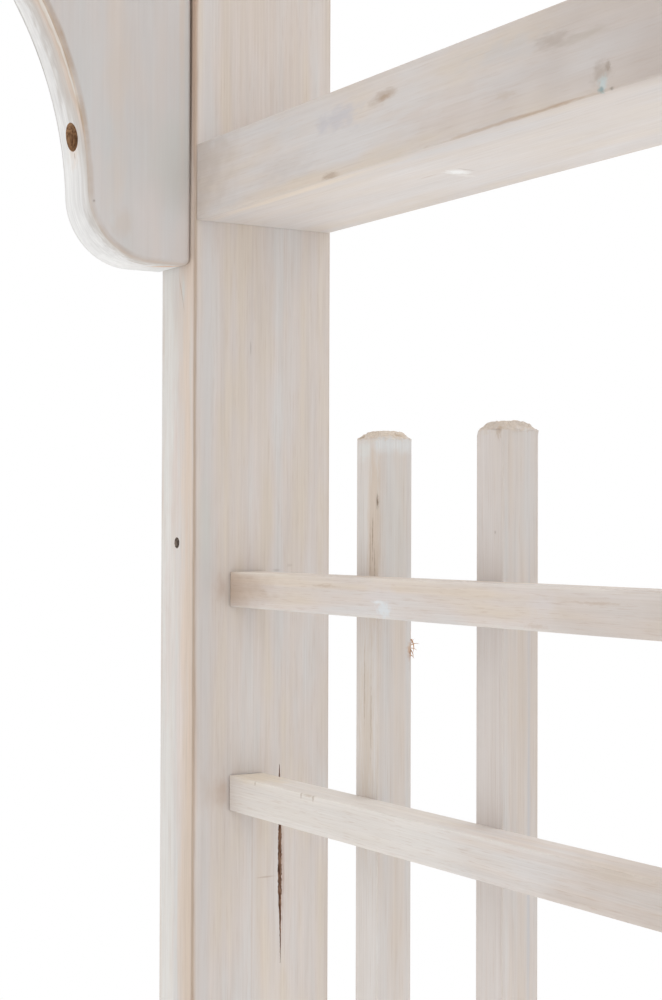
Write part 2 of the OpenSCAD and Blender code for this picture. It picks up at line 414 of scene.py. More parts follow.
        # Fibres and late wood stand up a little, and thin glaze is rougher than thick glaze.
        relief = add(tree, "Math", (fibre, late), operation="ADD")
        rough = add(tree, "MapRange", (cover, 0.0, 1.0, 0.78, 0.58))
        bump = add(tree, "Bump", {"Height": relief, "Strength": 0.3, "Distance": 0.00008})
        shader = add(tree, "BsdfPrincipled", {
            "Base Color": colour, "Roughness": rough, "Normal": bump, "IOR": 1.5})
        add(tree, "OutputMaterial", (shader,))
        return made


@dataclass(frozen=True)
class BoardWash(Whitewash):
    """The glaze on a shaped board: smooth and cool on its faces, milky in soft bands on its sawn edge.

    The eye gets a pale grey face, an edge that is white along its outer side and beige along its inner one,
    and a rubbed tan strip on the round between the edge and the face. Each mesh also carries how far along
    the outline a point is as the attribute run and how deep inside the outline as away, both in metres.

    Attributes:
        inner_mm: Where the face towards the middle of the arch is, along Y.
        thick_mm: Thickness of the board.
        straight_mm: Where the straight sides are: along the post in X and under the lintel in Z.
        tip_mm: Where the free tips are: in X and in Z.
        rub: Colour of the rubbed strip by the face towards the middle of the arch.
        far_rub: Colour of the one by the outer face.
    """

    inner_mm: float = 304.0
    thick_mm: float = 36.0
    straight_mm: Pair = (600.0, 1976.0)
    tip_mm: Pair = (300.0, 1676.0)
    rub: str = "#a78d74"
    far_rub: str = "#a5a29e"

    def layers(self, tree: NodeTree, place: Node, colour: Node) -> Node:
        """Lays the bands of the sawn edge, with a painted highlight on the lobes, and the rubbed strip beside
        it over the glaze.

        Args:
            tree: The material's tree.
            place: The point of the surface in the frame, in millimetres.
            colour: The colour so far.

        Returns:
            The node that gives the new colour.
        """
        split = add(tree, "SeparateXYZ", (add(tree, "VectorMath", (place,), operation="ABSOLUTE"),))
        across = add(tree, "MapRange", (split.outputs["Y"], self.inner_mm, self.inner_mm + self.thick_mm))
        run = add(tree, "Attribute", attribute_name="run").outputs["Fac"]
        flat = add(tree, "CombineXYZ", (across, run))
        wander, lines = (add(tree, "TexNoise", (
            add(tree, "VectorMath", (flat, scale), operation="MULTIPLY"), 1.0, 2.0))
            for scale in ((2.2, 9.0, 0.0), (30.0, 34.0, 0.0)))

        # The bands across the edge sway along it, and move over towards their white end on the lobes by the
        # free tips, as a painted highlight.
        above = add(tree, "Math", (split.outputs["Z"], self.tip_mm[1]), operation="SUBTRACT")
        beyond = add(tree, "Math", (split.outputs["X"], self.tip_mm[0]), operation="SUBTRACT")
        from_tip = add(tree, "Math", (above, beyond), operation="MINIMUM")
        lobe_highlight = add(tree, "MapRange", (from_tip, 95.0, 50.0, 0.0, 0.36), interpolation_type="SMOOTHSTEP")
        grain = add(tree, "VectorMath", (place, (0.3, 0.3, 0.011)), operation="MULTIPLY")
        strands = add(tree, "TexNoise", (grain, 1.0, 2.0))
        spot = across
        for shift in (add(tree, "Math", (wander, 0.40, -0.20), operation="MULTIPLY_ADD"),
                      add(tree, "Math", (strands, 0.30, -0.15), operation="MULTIPLY_ADD"), lobe_highlight):
            spot = add(tree, "Math", (spot, shift), operation="ADD")
        bands = add(tree, "ValToRGB", (spot,))
        set_stops(bands, ((0.0, "#d8ccc0"), (0.08, "#ded8d1"), (0.19, "#ccbaa9"), (0.32, "#d2c4b9"),
                          (0.44, "#c9c2bc"), (0.56, "#cfcbc7"), (0.68, "#e2e1e0"), (1.0, "#e9e9e8")))
        streaked = self.toned(tree, bands, ((lines, 0.28), (strands, 0.20)))
        facing = add(tree, "SeparateXYZ", (add(tree, "NewGeometry").outputs["Normal"],))
        square = add(tree, "Math", (facing.outputs["Y"],), operation="ABSOLUTE")
        share = add(tree, "MapRange", (square, 0.62, 0.40))
        colour = add(tree, "Mix", (share, colour, streaked), data_type="RGBA")

        # The rubbed strip follows the round, with a ragged rim on both sides.
        away = add(tree, "Attribute", attribute_name="away").outputs["Fac"]
        off_middle = add(tree, "Math", (across, 0.5), operation="SUBTRACT")
        off = add(tree, "Math", (off_middle,), operation="ABSOLUTE")
        under = add(tree, "Math", (off, -self.thick_mm, self.thick_mm / 2), operation="MULTIPLY_ADD")
        round_mm = add(tree, "Math", (away, 1000.0), operation="MULTIPLY")
        past = add(tree, "Math", (round_mm, under), operation="SUBTRACT")
        ragged = add(tree, "Math", (lines, 1.6, -0.8), operation="MULTIPLY_ADD")
        sway = add(tree, "Math", (wander, 2.4, ragged), operation="MULTIPLY_ADD")
        edge = add(tree, "Math", (past, sway), operation="ADD")
        strip = add(tree, "ValToRGB", (add(tree, "MapRange", (edge, -6.3, 5.7)),))
        set_stops(strip, ((0.32, 0), (0.38, 1), (0.45, 0.75), (0.70, 0.75), (0.84, 0)))

        # It stops at the straight sides, and is weaker in patches and at the free tips.
        beside = add(tree, "Math", (self.straight_mm[0], split.outputs["X"]), operation="SUBTRACT")
        below = add(tree, "Math", (self.straight_mm[1], split.outputs["Z"]), operation="SUBTRACT")
        from_side = add(tree, "Math", (beside, below), operation="MINIMUM")
        curved = add(tree, "MapRange", (from_side, 6.0, 26.0))
        blots = add(tree, "TexNoise", (place, 0.05, 5.0, 0.65))
        patchy = add(tree, "MapRange", (blots, 0.38, 0.60, 0.45))
        low_down = add(tree, "MapRange", (from_tip, 20.0, 110.0, 0.45))
        rubbed = strip
        for factor in (curved, low_down, patchy):
            rubbed = add(tree, "Math", (rubbed, factor), operation="MULTIPLY")
        outer = add(tree, "MapRange", (across, 0.4, 0.6))
        tone = add(tree, "Mix", (outer, linear(self.rub), linear(self.far_rub)), data_type="RGBA")
        return add(tree, "Mix", (rubbed, colour, tone), data_type="RGBA")


@dataclass(frozen=True)
class RawSpruce:
    """Bare spruce in a bore, a crack or a torn fibre, where no glaze reached: brown, dull and stringy."""

    name: str
    pale: str
    dark: str

    def material(self) -> Material:
        """Makes the material.

        Returns:
            The material, with short strings of fibre in two browns.
        """
        made, tree = new_material(self.name)
        spot = add(tree, "TexCoord").outputs["Object"]
        strings = add(tree, "VectorMath", (spot, (1200, 1200, 220)), operation="MULTIPLY")
        noise = add(tree, "TexNoise", (strings, 1.0, 3.0))
        ramp = add(tree, "ValToRGB", (noise,))
        set_stops(ramp, ((0.36, self.dark), (0.66, self.pale)))
        bump = add(tree, "Bump", {"Height": noise, "Strength": 0.6, "Distance": 0.0004})
        shader = add(tree, "BsdfPrincipled", {
            "Base Color": ramp, "Roughness": 0.85, "Normal": bump, "IOR": 1.5})
        add(tree, "OutputMaterial", (shader,))
        return made


@dataclass(frozen=True)
class ZincPlate:
    """Bright zinc plating on a steel screw: a pale, slightly bluish metal, satin and a little uneven."""

    name: str
    pale: str = "#c9cbcc"
    dull: str = "#a8a9a6"

    def material(self) -> Material:
        """Makes the material.

        Returns:
            The material, a metal whose tone and roughness vary from place to place.
        """
        made, tree = new_material(self.name)
        mottle = add(tree, "TexNoise", (add(tree, "TexCoord").outputs["Object"], 420.0, 3.0))
        colour = add(tree, "Mix", (mottle, linear(self.pale), linear(self.dull)), data_type="RGBA")
        rough = add(tree, "MapRange", (mottle, 0.0, 1.0, 0.26, 0.46))
        shader = add(tree, "BsdfPrincipled", {"Base Color": colour, "Metallic": 1.0, "Roughness": rough})
        add(tree, "OutputMaterial", (shader,))
        return made


def inset(outline: np.ndarray, depth: float) -> np.ndarray:
    """Moves the sides of an outline inwards by the same distance.

    Args:
        outline: The outline's points, counterclockwise, one row each.
        depth: The distance. Where it is more than the radius of a round corner, its points meet in one.

    Returns:
        The new points, one for each old one.
    """
    ahead = np.roll(outline, -1, 0) - outline
    way = ahead / np.linalg.norm(ahead, axis=1)[:, None]
    out = np.stack([way[:, 1], -way[:, 0]], 1)
    before = np.roll(out, 1, 0)
    moved = outline - depth * (out + before) / (1 + (out * before).sum(1))[:, None]
    count = len(outline)
    # The first pass joins sides that have turned round, the next two join sides that have no length left.
    for shortest in (0.0, NO_LENGTH, NO_LENGTH):
        turned = ((np.roll(moved, -1, 0) - moved) * way).sum(1) < shortest
        for start in np.flatnonzero(turned & ~np.roll(turned, 1)):
            end = start
            while turned[end % count]:
                end += 1
            first, last = way[start - 1], way[end % count]
            cross = first[0] * last[1] - first[1] * last[0]
            if abs(cross) < PARALLEL:
                continue
            apart = moved[end % count] - moved[start]
            meeting = moved[start] + (apart[0] * last[1] - apart[1] * last[0]) / cross * first
            for i in range(start, end + 1):
                moved[i % count] = meeting
    return moved


def arc(middle: Pair, radius: float, start: float, end: float, steps: int) -> list[Pair]:
    """Points along an arc.

    Args:
        middle: The arc's centre.
        radius: Its radius.
        start: Its first angle in degrees.
        end: Its last angle in degrees.
        steps: The number of chords.

    Returns:
        The points, from the first to the last.
    """
    angles = [math.radians(start + (end - start) * i / steps) for i in range(steps + 1)]
    return [(middle[0] + radius * math.cos(a), middle[1] + radius * math.sin(a)) for a in angles]


def round_rect(low: Pair, high: Pair, radius: float, margin: float) -> np.ndarray:
    """A rectangle with round corners, and two more points on each side where the wear of its corners ends.

    Args:
        low: Its lowest corner.
        high: Its highest corner.
        radius: Radius of the corners.
        margin: Distance of the further points from the rounds.

    Returns:
        The points, counterclockwise.
    """
    points = []
    for sx, sy, turn in ((1, 1, 0), (-1, 1, 90), (-1, -1, 180), (1, -1, 270)):
        x = (high[0] - radius) if sx > 0 else (low[0] + radius)
        y = (high[1] - radius) if sy > 0 else (low[1] + radius)
        corner = arc((x, y), radius, turn, turn + 90, 6)
        angle = math.radians(turn)
        ahead = np.array([-math.sin(angle), math.cos(angle)])
        beyond = np.array([-math.cos(angle), -math.sin(angle)])
        first, last = np.array(corner[0]) - margin * ahead, np.array(corner[-1]) + margin * beyond
        points += [tuple(first), *corner, tuple(last)]
    return np.array(points)


def outline_distance(outline: np.ndarray, points: np.ndarray) -> tuple[np.ndarray, np.ndarray]:
    """Measures points against a closed outline.

    Args:
        outline: The outline's points.
        points: The points to measure.

    Returns:
        For each point, its distance from the outline and how far along the outline its nearest place is.
    """
    ahead = np.roll(outline, -1, 0) - outline
    length = np.linalg.norm(ahead, axis=1)
    start = np.concatenate([[0.0], np.cumsum(length)[:-1]])
    apart = points[:, None, :] - outline[None]
    share = np.clip((apart * ahead[None]).sum(2) / (length ** 2)[None], 0, 1)
    away = np.linalg.norm(apart - share[..., None] * ahead[None], axis=2)
    nearest = away.argmin(1)
    rows = np.arange(len(points))
    return away[rows, nearest], start[nearest] + share[rows, nearest] * length[nearest]


def object_from(name: str, mesh: Mesh) -> Object:
    """Puts a mesh into the scene as an object of that name at the origin."""
    made = bpy.data.objects.new(name, mesh)
    bpy.context.scene.collection.objects.link(made)
    return made


def keep(shape: BMesh, mesh: Mesh) -> Mesh:
    """Writes a shape that was being edited into a mesh, and lets go of it."""
    shape.to_mesh(mesh)
    shape.free()
    return mesh


def skin(shape: BMesh, rings: Sequence[Sequence[BMVert]]) -> list[BMFace]:
    """Joins each ring of points to the next one with a row of faces, and returns the faces."""
    count = len(rings[0])
    return [shape.faces.new((lower[i], lower[(i + 1) % count], upper[(i + 1) % count], upper[i]))
            for lower, upper in zip(rings, rings[1:]) for i in range(count)]


def loft(name: str, rings: Sequence[Sequence[Sequence[float]]], weld: bool = False) -> Object:
    """A closed solid through rings of points.

    Args:
        name: The object's name.
        rings: The rings in their order, in metres, each with the same number of points.
        weld: Whether points that meet become one.

    Returns:
        The object, with its faces pointing outwards.
    """
    shape = bmesh.new()
    made = [[shape.verts.new(spot) for spot in ring] for ring in rings]
    skin(shape, made)
    shape.faces.new(made[0])
    shape.faces.new(made[-1])
    if weld:
        bmesh.ops.remove_doubles(shape, verts=shape.verts, dist=WELD)
    bmesh.ops.recalc_face_normals(shape, faces=shape.faces)
    return object_from(name, keep(shape, bpy.data.meshes.new(name)))


def prism(name: str, outline: np.ndarray, rows: Iterable[Pair], axis: Axis) -> Object:
    """A closed solid that carries an outline along an axis.

    Args:
        name: The object's name.
        outline: The outline's points, counterclockwise, in metres.
        rows: For each row of the solid, how far its outline is moved inwards and its place along the axis.
        axis: The axis that the outline is carried along.

    Returns:
        The object.
    """
    order = [axis.value.index(i) for i in range(3)]
    rings = [[[(a, b, height)[k] for k in order] for a, b in inset(outline, depth)] for depth, height in rows]
    return loft(name, rings, weld=True)


def rim_rows(low: float, high: float, radius: float, steps: int, margin: float = 0.0) -> list[Pair]:
    """The rows of a solid whose two rims are rounded.

    Args:
        low: Where the solid starts along its axis.
        high: Where it ends.
        radius: Radius of the rounds.
        steps: The number of chords in a round. One makes a chamfer.
        margin: Width, inside the rounds, of a further ring on the two faces and a further row between them.

    Returns:
        How far each row is moved inwards, and its place along the axis.
    """
    angles = [math.radians(90 * k / steps) for k in range(steps + 1)]
    lower = [(radius * (1 - math.sin(a)), low + radius * (1 - math.cos(a))) for a in angles]
    upper = [(d, low + high - h) for d, h in reversed(lower)]
    if margin:
        lower = [(radius + margin, low), *lower, (0.0, low + radius + margin)]
        upper = [(0.0, high - radius - margin), *upper, (radius + margin, high)]
    return lower + upper


def drill(name: str, at: Sequence[float], way: Sequence[float], profile: Sequence[Pair],
          sides: int = 32) -> Object:
    """A round cutter, turned from a profile.

    Args:
        name: The object's name.
        at: The point of the axis that the profile starts from, in metres.
        way: The direction of the axis.
        profile: Distances along the axis and radii, in metres, in order.
        sides: The number of sides.

    Returns:
        The object.
    """
    turn = Vector(way).to_track_quat("Z", "Y").to_matrix()
    angles = [2 * math.pi * i / sides for i in range(sides)]
    return loft(name, [[Vector(at) + turn @ Vector((radius * math.cos(a), radius * math.sin(a), height))
                        for a in angles] for height, radius in profile])


def settle(piece: Object) -> None:
    """Makes the shape that an object's modifiers give its plain mesh, and takes the modifiers away.

    Args:
        piece: The object.
    """
    graph = bpy.context.evaluated_depsgraph_get()
    mesh = bpy.data.meshes.new_from_object(piece.evaluated_get(graph))
    old = piece.data
    piece.modifiers.clear()
    piece.data = mesh
    mesh.name = piece.name
    bpy.data.meshes.remove(old)


def carve(piece: Object, cutters: Sequence[Object], inside: Material) -> None:
    """Cuts shapes out of a piece, and leaves their walls in another material.

    Args:
        piece: The piece, which has one material.
        cutters: The closed shapes, which don't touch each other.
        inside: The material of the new walls.
    """
    for cutter in cutters:
        cutter.data.materials.clear()
        cutter.data.materials.append(inside)
        cut = piece.modifiers.new("cut", "BOOLEAN")
        cut.operation = "DIFFERENCE"
        cut.solver = "EXACT"
        cut.material_mode = "TRANSFER"
        cut.object = cutter
    settle(piece)
    for cutter in cutters:
        bpy.data.meshes.remove(cutter.data)


def smooth(piece: Object) -> None:
    """Shades a piece smooth between its sharp edges."""
    piece.data.shade_smooth()
    piece.data.set_sharp_from_angle(angle=SHARP_ANGLE)


def shade(piece: Object, cut_axis: int | None = None) -> None:
    """Smooths the rounds of a piece and keeps its flat faces flat.

    Args:
        piece: The piece.
        cut_axis: The axis whose ends have sawn chamfers, which stay flat too.
    """
    smooth(piece)
    if cut_axis is not None:
        # The normal of a chamfer is neither across the axis, as a wall's is, nor along it, as an end's is.
        for face in piece.data.polygons:
            face.use_smooth = not 0.3 < abs(face.normal[cut_axis]) < 0.95
    even = piece.modifiers.new("even", "WEIGHTED_NORMAL")
    even.keep_sharp = True
    settle(piece)


def points_of(piece: Object) -> np.ndarray:
    """The vertices of a piece, one row each."""
    spots = np.empty(len(piece.data.vertices) * 3)
    piece.data.vertices.foreach_get("co", spots)
    return spots.reshape(-1, 3)


def store(piece: Object, name: str, kind: str, domain: str, values: np.ndarray) -> None:
    """Stores an attribute on a piece's mesh.

    Args:
        piece: The piece.
        name: The attribute's name.
        kind: Its data type in Blender.
        domain: What each value belongs to.
        values: The values.
    """
    made = piece.data.attributes.new(name, kind, domain)
    made.data.foreach_set("vector" if kind == "FLOAT_VECTOR" else "value", np.ravel(values))


def from_ends(piece: Object, axis: int) -> np.ndarray:
    """How far each point of a piece is from its nearer end along an axis."""
    spots = points_of(piece)[:, axis]
    return np.minimum(spots - spots.min(), spots.max() - spots)


def split_ends(piece: Object, axis: int, reach_mm: float, longest_mm: float) -> None:
    """Cuts the faces at a piece's ends into small ones that can be chipped. Its long walls stay whole.

    Args:
        piece: The piece.
        axis: The axis that its ends are on.
        reach_mm: How far from the ends faces are cut.
        longest_mm: The greatest length of an edge there.
    """
    # Four halvings are enough for a bar. The ring that the long walls start from is left as it is.
    for _ in range(4):
        near = from_ends(piece, axis) < (reach_mm - 0.01) * MM
        shape = bmesh.new()
        shape.from_mesh(piece.data)
        shape.verts.ensure_lookup_table()
        edges = [edge for edge in shape.edges
                 if edge.calc_length() > longest_mm * MM and all(near[vert.index] for vert in edge.verts)]
        bmesh.ops.subdivide_edges(shape, edges=edges, cuts=1, use_grid_fill=True)
        keep(shape, piece.data)


def store_log(piece: Object, middle: Sequence[float]) -> None:
    """Stores where the middle of the piece's tree is, in millimetres, in the order that its grain gives."""
    count = len(piece.data.polygons)
    store(piece, "log", "FLOAT_VECTOR", "FACE", np.tile(np.array(middle, float), (count, 1)))


def store_wear(piece: Object, away: np.ndarray, reach_mm: float) -> None:
    """Stores how near each point is to an arris: 1 on it and 0 from that reach on."""
    store(piece, "wear", "FLOAT", "POINT", np.clip(1 - away / (reach_mm * MM), 0, 1))


def store_bare(piece: Object) -> None:
    """Stores which faces are the bare walls of pockets and bores."""
    bare = np.array([face.material_index > 0 for face in piece.data.polygons])
    store(piece, "bare", "BOOLEAN", "FACE", bare)


def hand_over(piece: Object, nodes: Sequence[str]) -> Object:
    """Makes a finished piece ride on the body, hides the nodes that it stands for, and reports it.

    Args:
        piece: The finished piece.
        nodes: The nodes that it stands for.

    Returns:
        The piece.
    """
    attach(piece, BODY)
    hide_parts(*nodes)
    LOG.info("%s: %d faces, for %s", piece.name, len(piece.data.polygons), ", ".join(nodes))
    return piece


@dataclass
class Bar:
    """A straight planed piece: a rectangle with eased corners, carried along its fibres.

    Attributes:
        node: The node whose box it fills.
        edge_mm: Radius of its long arrises.
        tip_mm: Size of the chamfer at its ends.
        log: Where its tree's middle is from its own, in millimetres, in the order that the grain gives.
        tip_margin_mm: How far beyond that chamfer chips reach. Nothing is chipped at 0.
        wear_mm: How far from an arris its wear reaches.
    """

    name: str
    node: str
    grain: Axis
    edge_mm: float
    tip_mm: float
    log: Spot
    tip_margin_mm: float = 0.0
    wear_mm: float = 2.0

    def build(self, finish: Material) -> Object:
        """Makes the bar's mesh, with its material.

        Args:
            finish: The material.

        Returns:
            The object.
        """
        low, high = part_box(self.node)
        first, second, third = self.grain.value
        corners = (low[first], low[second]), (high[first], high[second])
        outline = round_rect(*corners, self.edge_mm * MM, self.wear_mm * MM)
        rows = rim_rows(low[third], high[third], self.tip_mm * MM, 1, self.tip_margin_mm * MM)
        made = prism(self.name, outline, rows, self.grain)
        made.data.materials.append(finish)
        return made

    def finish(self, piece: Object) -> None:
        """Stores what the finish reads, and shades the piece.

        Args:
            piece: The bar, with all its cuts made.
        """
        low, high = (np.array(corner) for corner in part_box(self.node))
        first, second, third = self.grain.value
        middle, half = (low + high) / 2, (high - low) / 2
        inner = half - np.abs(points_of(piece) - middle)
        store_wear(piece, np.maximum(inner[:, first], inner[:, second]), self.wear_mm)
        store_log(piece, [middle[axis] / MM + off for axis, off in zip(self.grain.value, self.log)])
        shade(piece, third if self.tip_margin_mm else None)


@dataclass
class Shaped:
    """A piece sawn to an outline from a board, with its rims rounded all round.

    Attributes:
        outline: The outline's points, counterclockwise, in metres.
        across: The axis across the board.
        faces: Where the board's two faces are along that axis, in metres.
        rim_mm: Radius of the rounds.
        log: Where its tree's middle is, in millimetres, in the order that the grain gives.
        margin_mm: How far the wear reaches beyond the rounds.
    """

    name: str
    outline: np.ndarray
    across: Axis
    faces: Pair
    rim_mm: float
    log: Spot
    margin_mm: float = 2.0

    def build(self, finish: Material) -> Object:
        """Makes the piece's mesh, with its material.

        Args:
            finish: The material.

        Returns:
            The object.
        """
        rows = rim_rows(*self.faces, self.rim_mm * MM, 5, self.margin_mm * MM)
        made = prism(self.name, self.outline, rows, self.across)
        made.data.materials.append(finish)
        return made

    def finish(self, piece: Object) -> None:
        """Stores what the finish reads, and shades the piece.

        Args:
            piece: The piece, with all its cuts made.
        """
        first, second, third = self.across.value
        spots = points_of(piece)
        away, run = outline_distance(self.outline, spots[:, [first, second]])
        half = (self.faces[1] - self.faces[0]) / 2
        inner = half - np.abs(spots[:, third] - sum(self.faces) / 2)
        store_wear(piece, np.maximum(inner, away), self.rim_mm + self.margin_mm)
        store(piece, "run", "FLOAT", "POINT", run)
        store(piece, "away", "FLOAT", "POINT", away)
        store_log(piece, self.log)
        shade(piece)


def run_tree(piece: Object, tree: NodeTree, values: dict[str, object]) -> None:
    """Runs a tree on an object once and keeps the result as its plain mesh.

    Args:
        piece: The object that holds what the tree starts from.
        tree: The geometry tree.
        values: The tree's inputs, by name.
    """
    modifier = piece.modifiers.new("build", "NODES")
    modifier.node_group = tree
    for item in tree.interface.items_tree:
        if item.in_out == "INPUT" and item.name in values:
            modifier[item.identifier] = values[item.name]
    settle(piece)


def new_tree(name: str, inputs: Sequence[tuple[str, str, object]]) -> tuple[NodeTree, bpy.types.NodeOutputs]:
    """Starts a geometry tree.

    Args:
        name: Its name.
        inputs: The name, kind and starting value of each input beside the geometry.

    Returns:
        The tree and what its input node gives.
    """
    tree = bpy.data.node_groups.new(name, "GeometryNodeTree")
    tree.interface.new_socket("Geometry", in_out="INPUT", socket_type="NodeSocketGeometry")
    for label, kind, value in inputs:
        made = tree.interface.new_socket(label, in_out="INPUT", socket_type="NodeSocket" + kind)
        if value is not None:
            made.default_value = value
    tree.interface.new_socket("Geometry", in_out="OUTPUT", socket_type="NodeSocketGeometry")
    return tree, add(tree, "NodeGroupInput").outputs


def slat_tree() -> NodeTree:
    """The tree that repeats one slat in groups, each from a log of its own and with its cut ends uneven.

    Returns:
        The tree.
    """
    tree, given = new_tree("repeat_slats", (
        ("Groups", "Int", 1), ("Group step", "Vector", (0, 0, 0)), ("Members", "Int", 1),
        ("Member step", "Vector", (0, 0, 0)), ("Log spread", "Vector", (0, 0, 0)), ("Chipping", "Float", 0.0),
        ("Seed", "Int", 1), ("Finish", "Material", None), ("Bare wood", "Material", None)))
    groups, members = (add(tree, "GeometryNodeMeshLine", {"Count": given[count], "Offset": given[step]})
                       for count, step in (("Groups", "Group step"), ("Members", "Member step")))
    grid = add(tree, "GeometryNodeInstanceOnPoints", {"Points": groups, "Instance": members})
    spots = add(tree, "GeometryNodeRealizeInstances", (grid,))
    slats = add(tree, "GeometryNodeInstanceOnPoints", {"Points": spots, "Instance": given["Geometry"]})
    near = add(tree, "VectorMath", (given["Log spread"], -1.0), operation="SCALE")
    shift = add(tree, "FunctionNodeRandomValue", {
        "Min": near, "Max": given["Log spread"], "Seed": given["Seed"]}, data_type="FLOAT_VECTOR")
    marked = add(tree, "GeometryNodeStoreNamedAttribute", {
        "Geometry": slats, "Name": "shift", "Value": shift}, data_type="FLOAT_VECTOR", domain="INSTANCE")
    whole = add(tree, "GeometryNodeRealizeInstances", (marked,))
    log, moved = (add(tree, "GeometryNodeInputNamedAttribute", (name,), data_type="FLOAT_VECTOR")
                  for name in ("log", "shift"))
    own = add(tree, "VectorMath", (log, moved), operation="ADD")
    logs = add(tree, "GeometryNodeStoreNamedAttribute", {"Geometry": whole, "Name": "log", "Value": own},
               data_type="FLOAT_VECTOR", domain="FACE")
    chips = add(tree, "TexNoise", {"Scale": 360.0, "Detail": 1.0})
    centred = add(tree, "VectorMath", (chips.outputs["Color"], (0.5, 0.5, 0.5)), operation="SUBTRACT")
    cut = add(tree, "GeometryNodeInputNamedAttribute", ("cut",), data_type="FLOAT")
    size = add(tree, "Math", (cut, given["Chipping"]), operation="MULTIPLY")
    offset = add(tree, "VectorMath", (centred, size), operation="SCALE")
    chipped = add(tree, "GeometryNodeSetPosition", {"Geometry": logs, "Offset": offset})
    finished = add(tree, "GeometryNodeSetMaterial", {"Geometry": chipped, "Material": given["Finish"]})
    bare = add(tree, "GeometryNodeInputNamedAttribute", ("bare",), data_type="BOOLEAN")
    last = add(tree, "GeometryNodeSetMaterial", (finished, bare, given["Bare wood"]))
    add(tree, "NodeGroupOutput", (last,))
    return tree


def screw_tree() -> NodeTree:
    """The tree that sets a screw at each point of a mesh, along the point's own direction, turned at random.

    Returns:
        The tree.
    """
    tree, given = new_tree("set_screws", (
        ("Screw", "Object", None), ("Seed", "Int", 1), ("Finish", "Material", None)))
    screw = add(tree, "GeometryNodeObjectInfo", {"Object": given["Screw"]})
    way = add(tree, "GeometryNodeInputNamedAttribute", ("way",), data_type="FLOAT_VECTOR")
    aimed = add(tree, "FunctionNodeAlignRotationToVector", {"Vector": way}, axis="Z")
    turn = add(tree, "FunctionNodeRandomValue", {"Min": 0.0, "Max": 2 * math.pi, "Seed": given["Seed"]},
               data_type="FLOAT")
    spun = add(tree, "FunctionNodeAxisAngleToRotation", {"Axis": (0, 0, 1), "Angle": turn})
    both = add(tree, "FunctionNodeRotateRotation", (aimed, spun), rotation_space="LOCAL")
    placed = add(tree, "GeometryNodeInstanceOnPoints", {
        "Points": given["Geometry"], "Instance": screw.outputs["Geometry"], "Rotation": both})
    whole = add(tree, "GeometryNodeRealizeInstances", (placed,))
    last = add(tree, "GeometryNodeSetMaterial", {"Geometry": whole, "Material": given["Finish"]})
    add(tree, "NodeGroupOutput", (last,))
    return tree


class Head(Enum):
    """How a screw's head sits in the wood."""

    SUNK = "countersunk, just under the face"
    PAN = "on the floor of a counterbore"


@dataclass(frozen=True)
class ScrewKind:
    """One kind of screw: the diameter of its shank and its length in millimetres, and its head."""

    size_mm: float
    length_mm: float
    head: Head = Head.SUNK


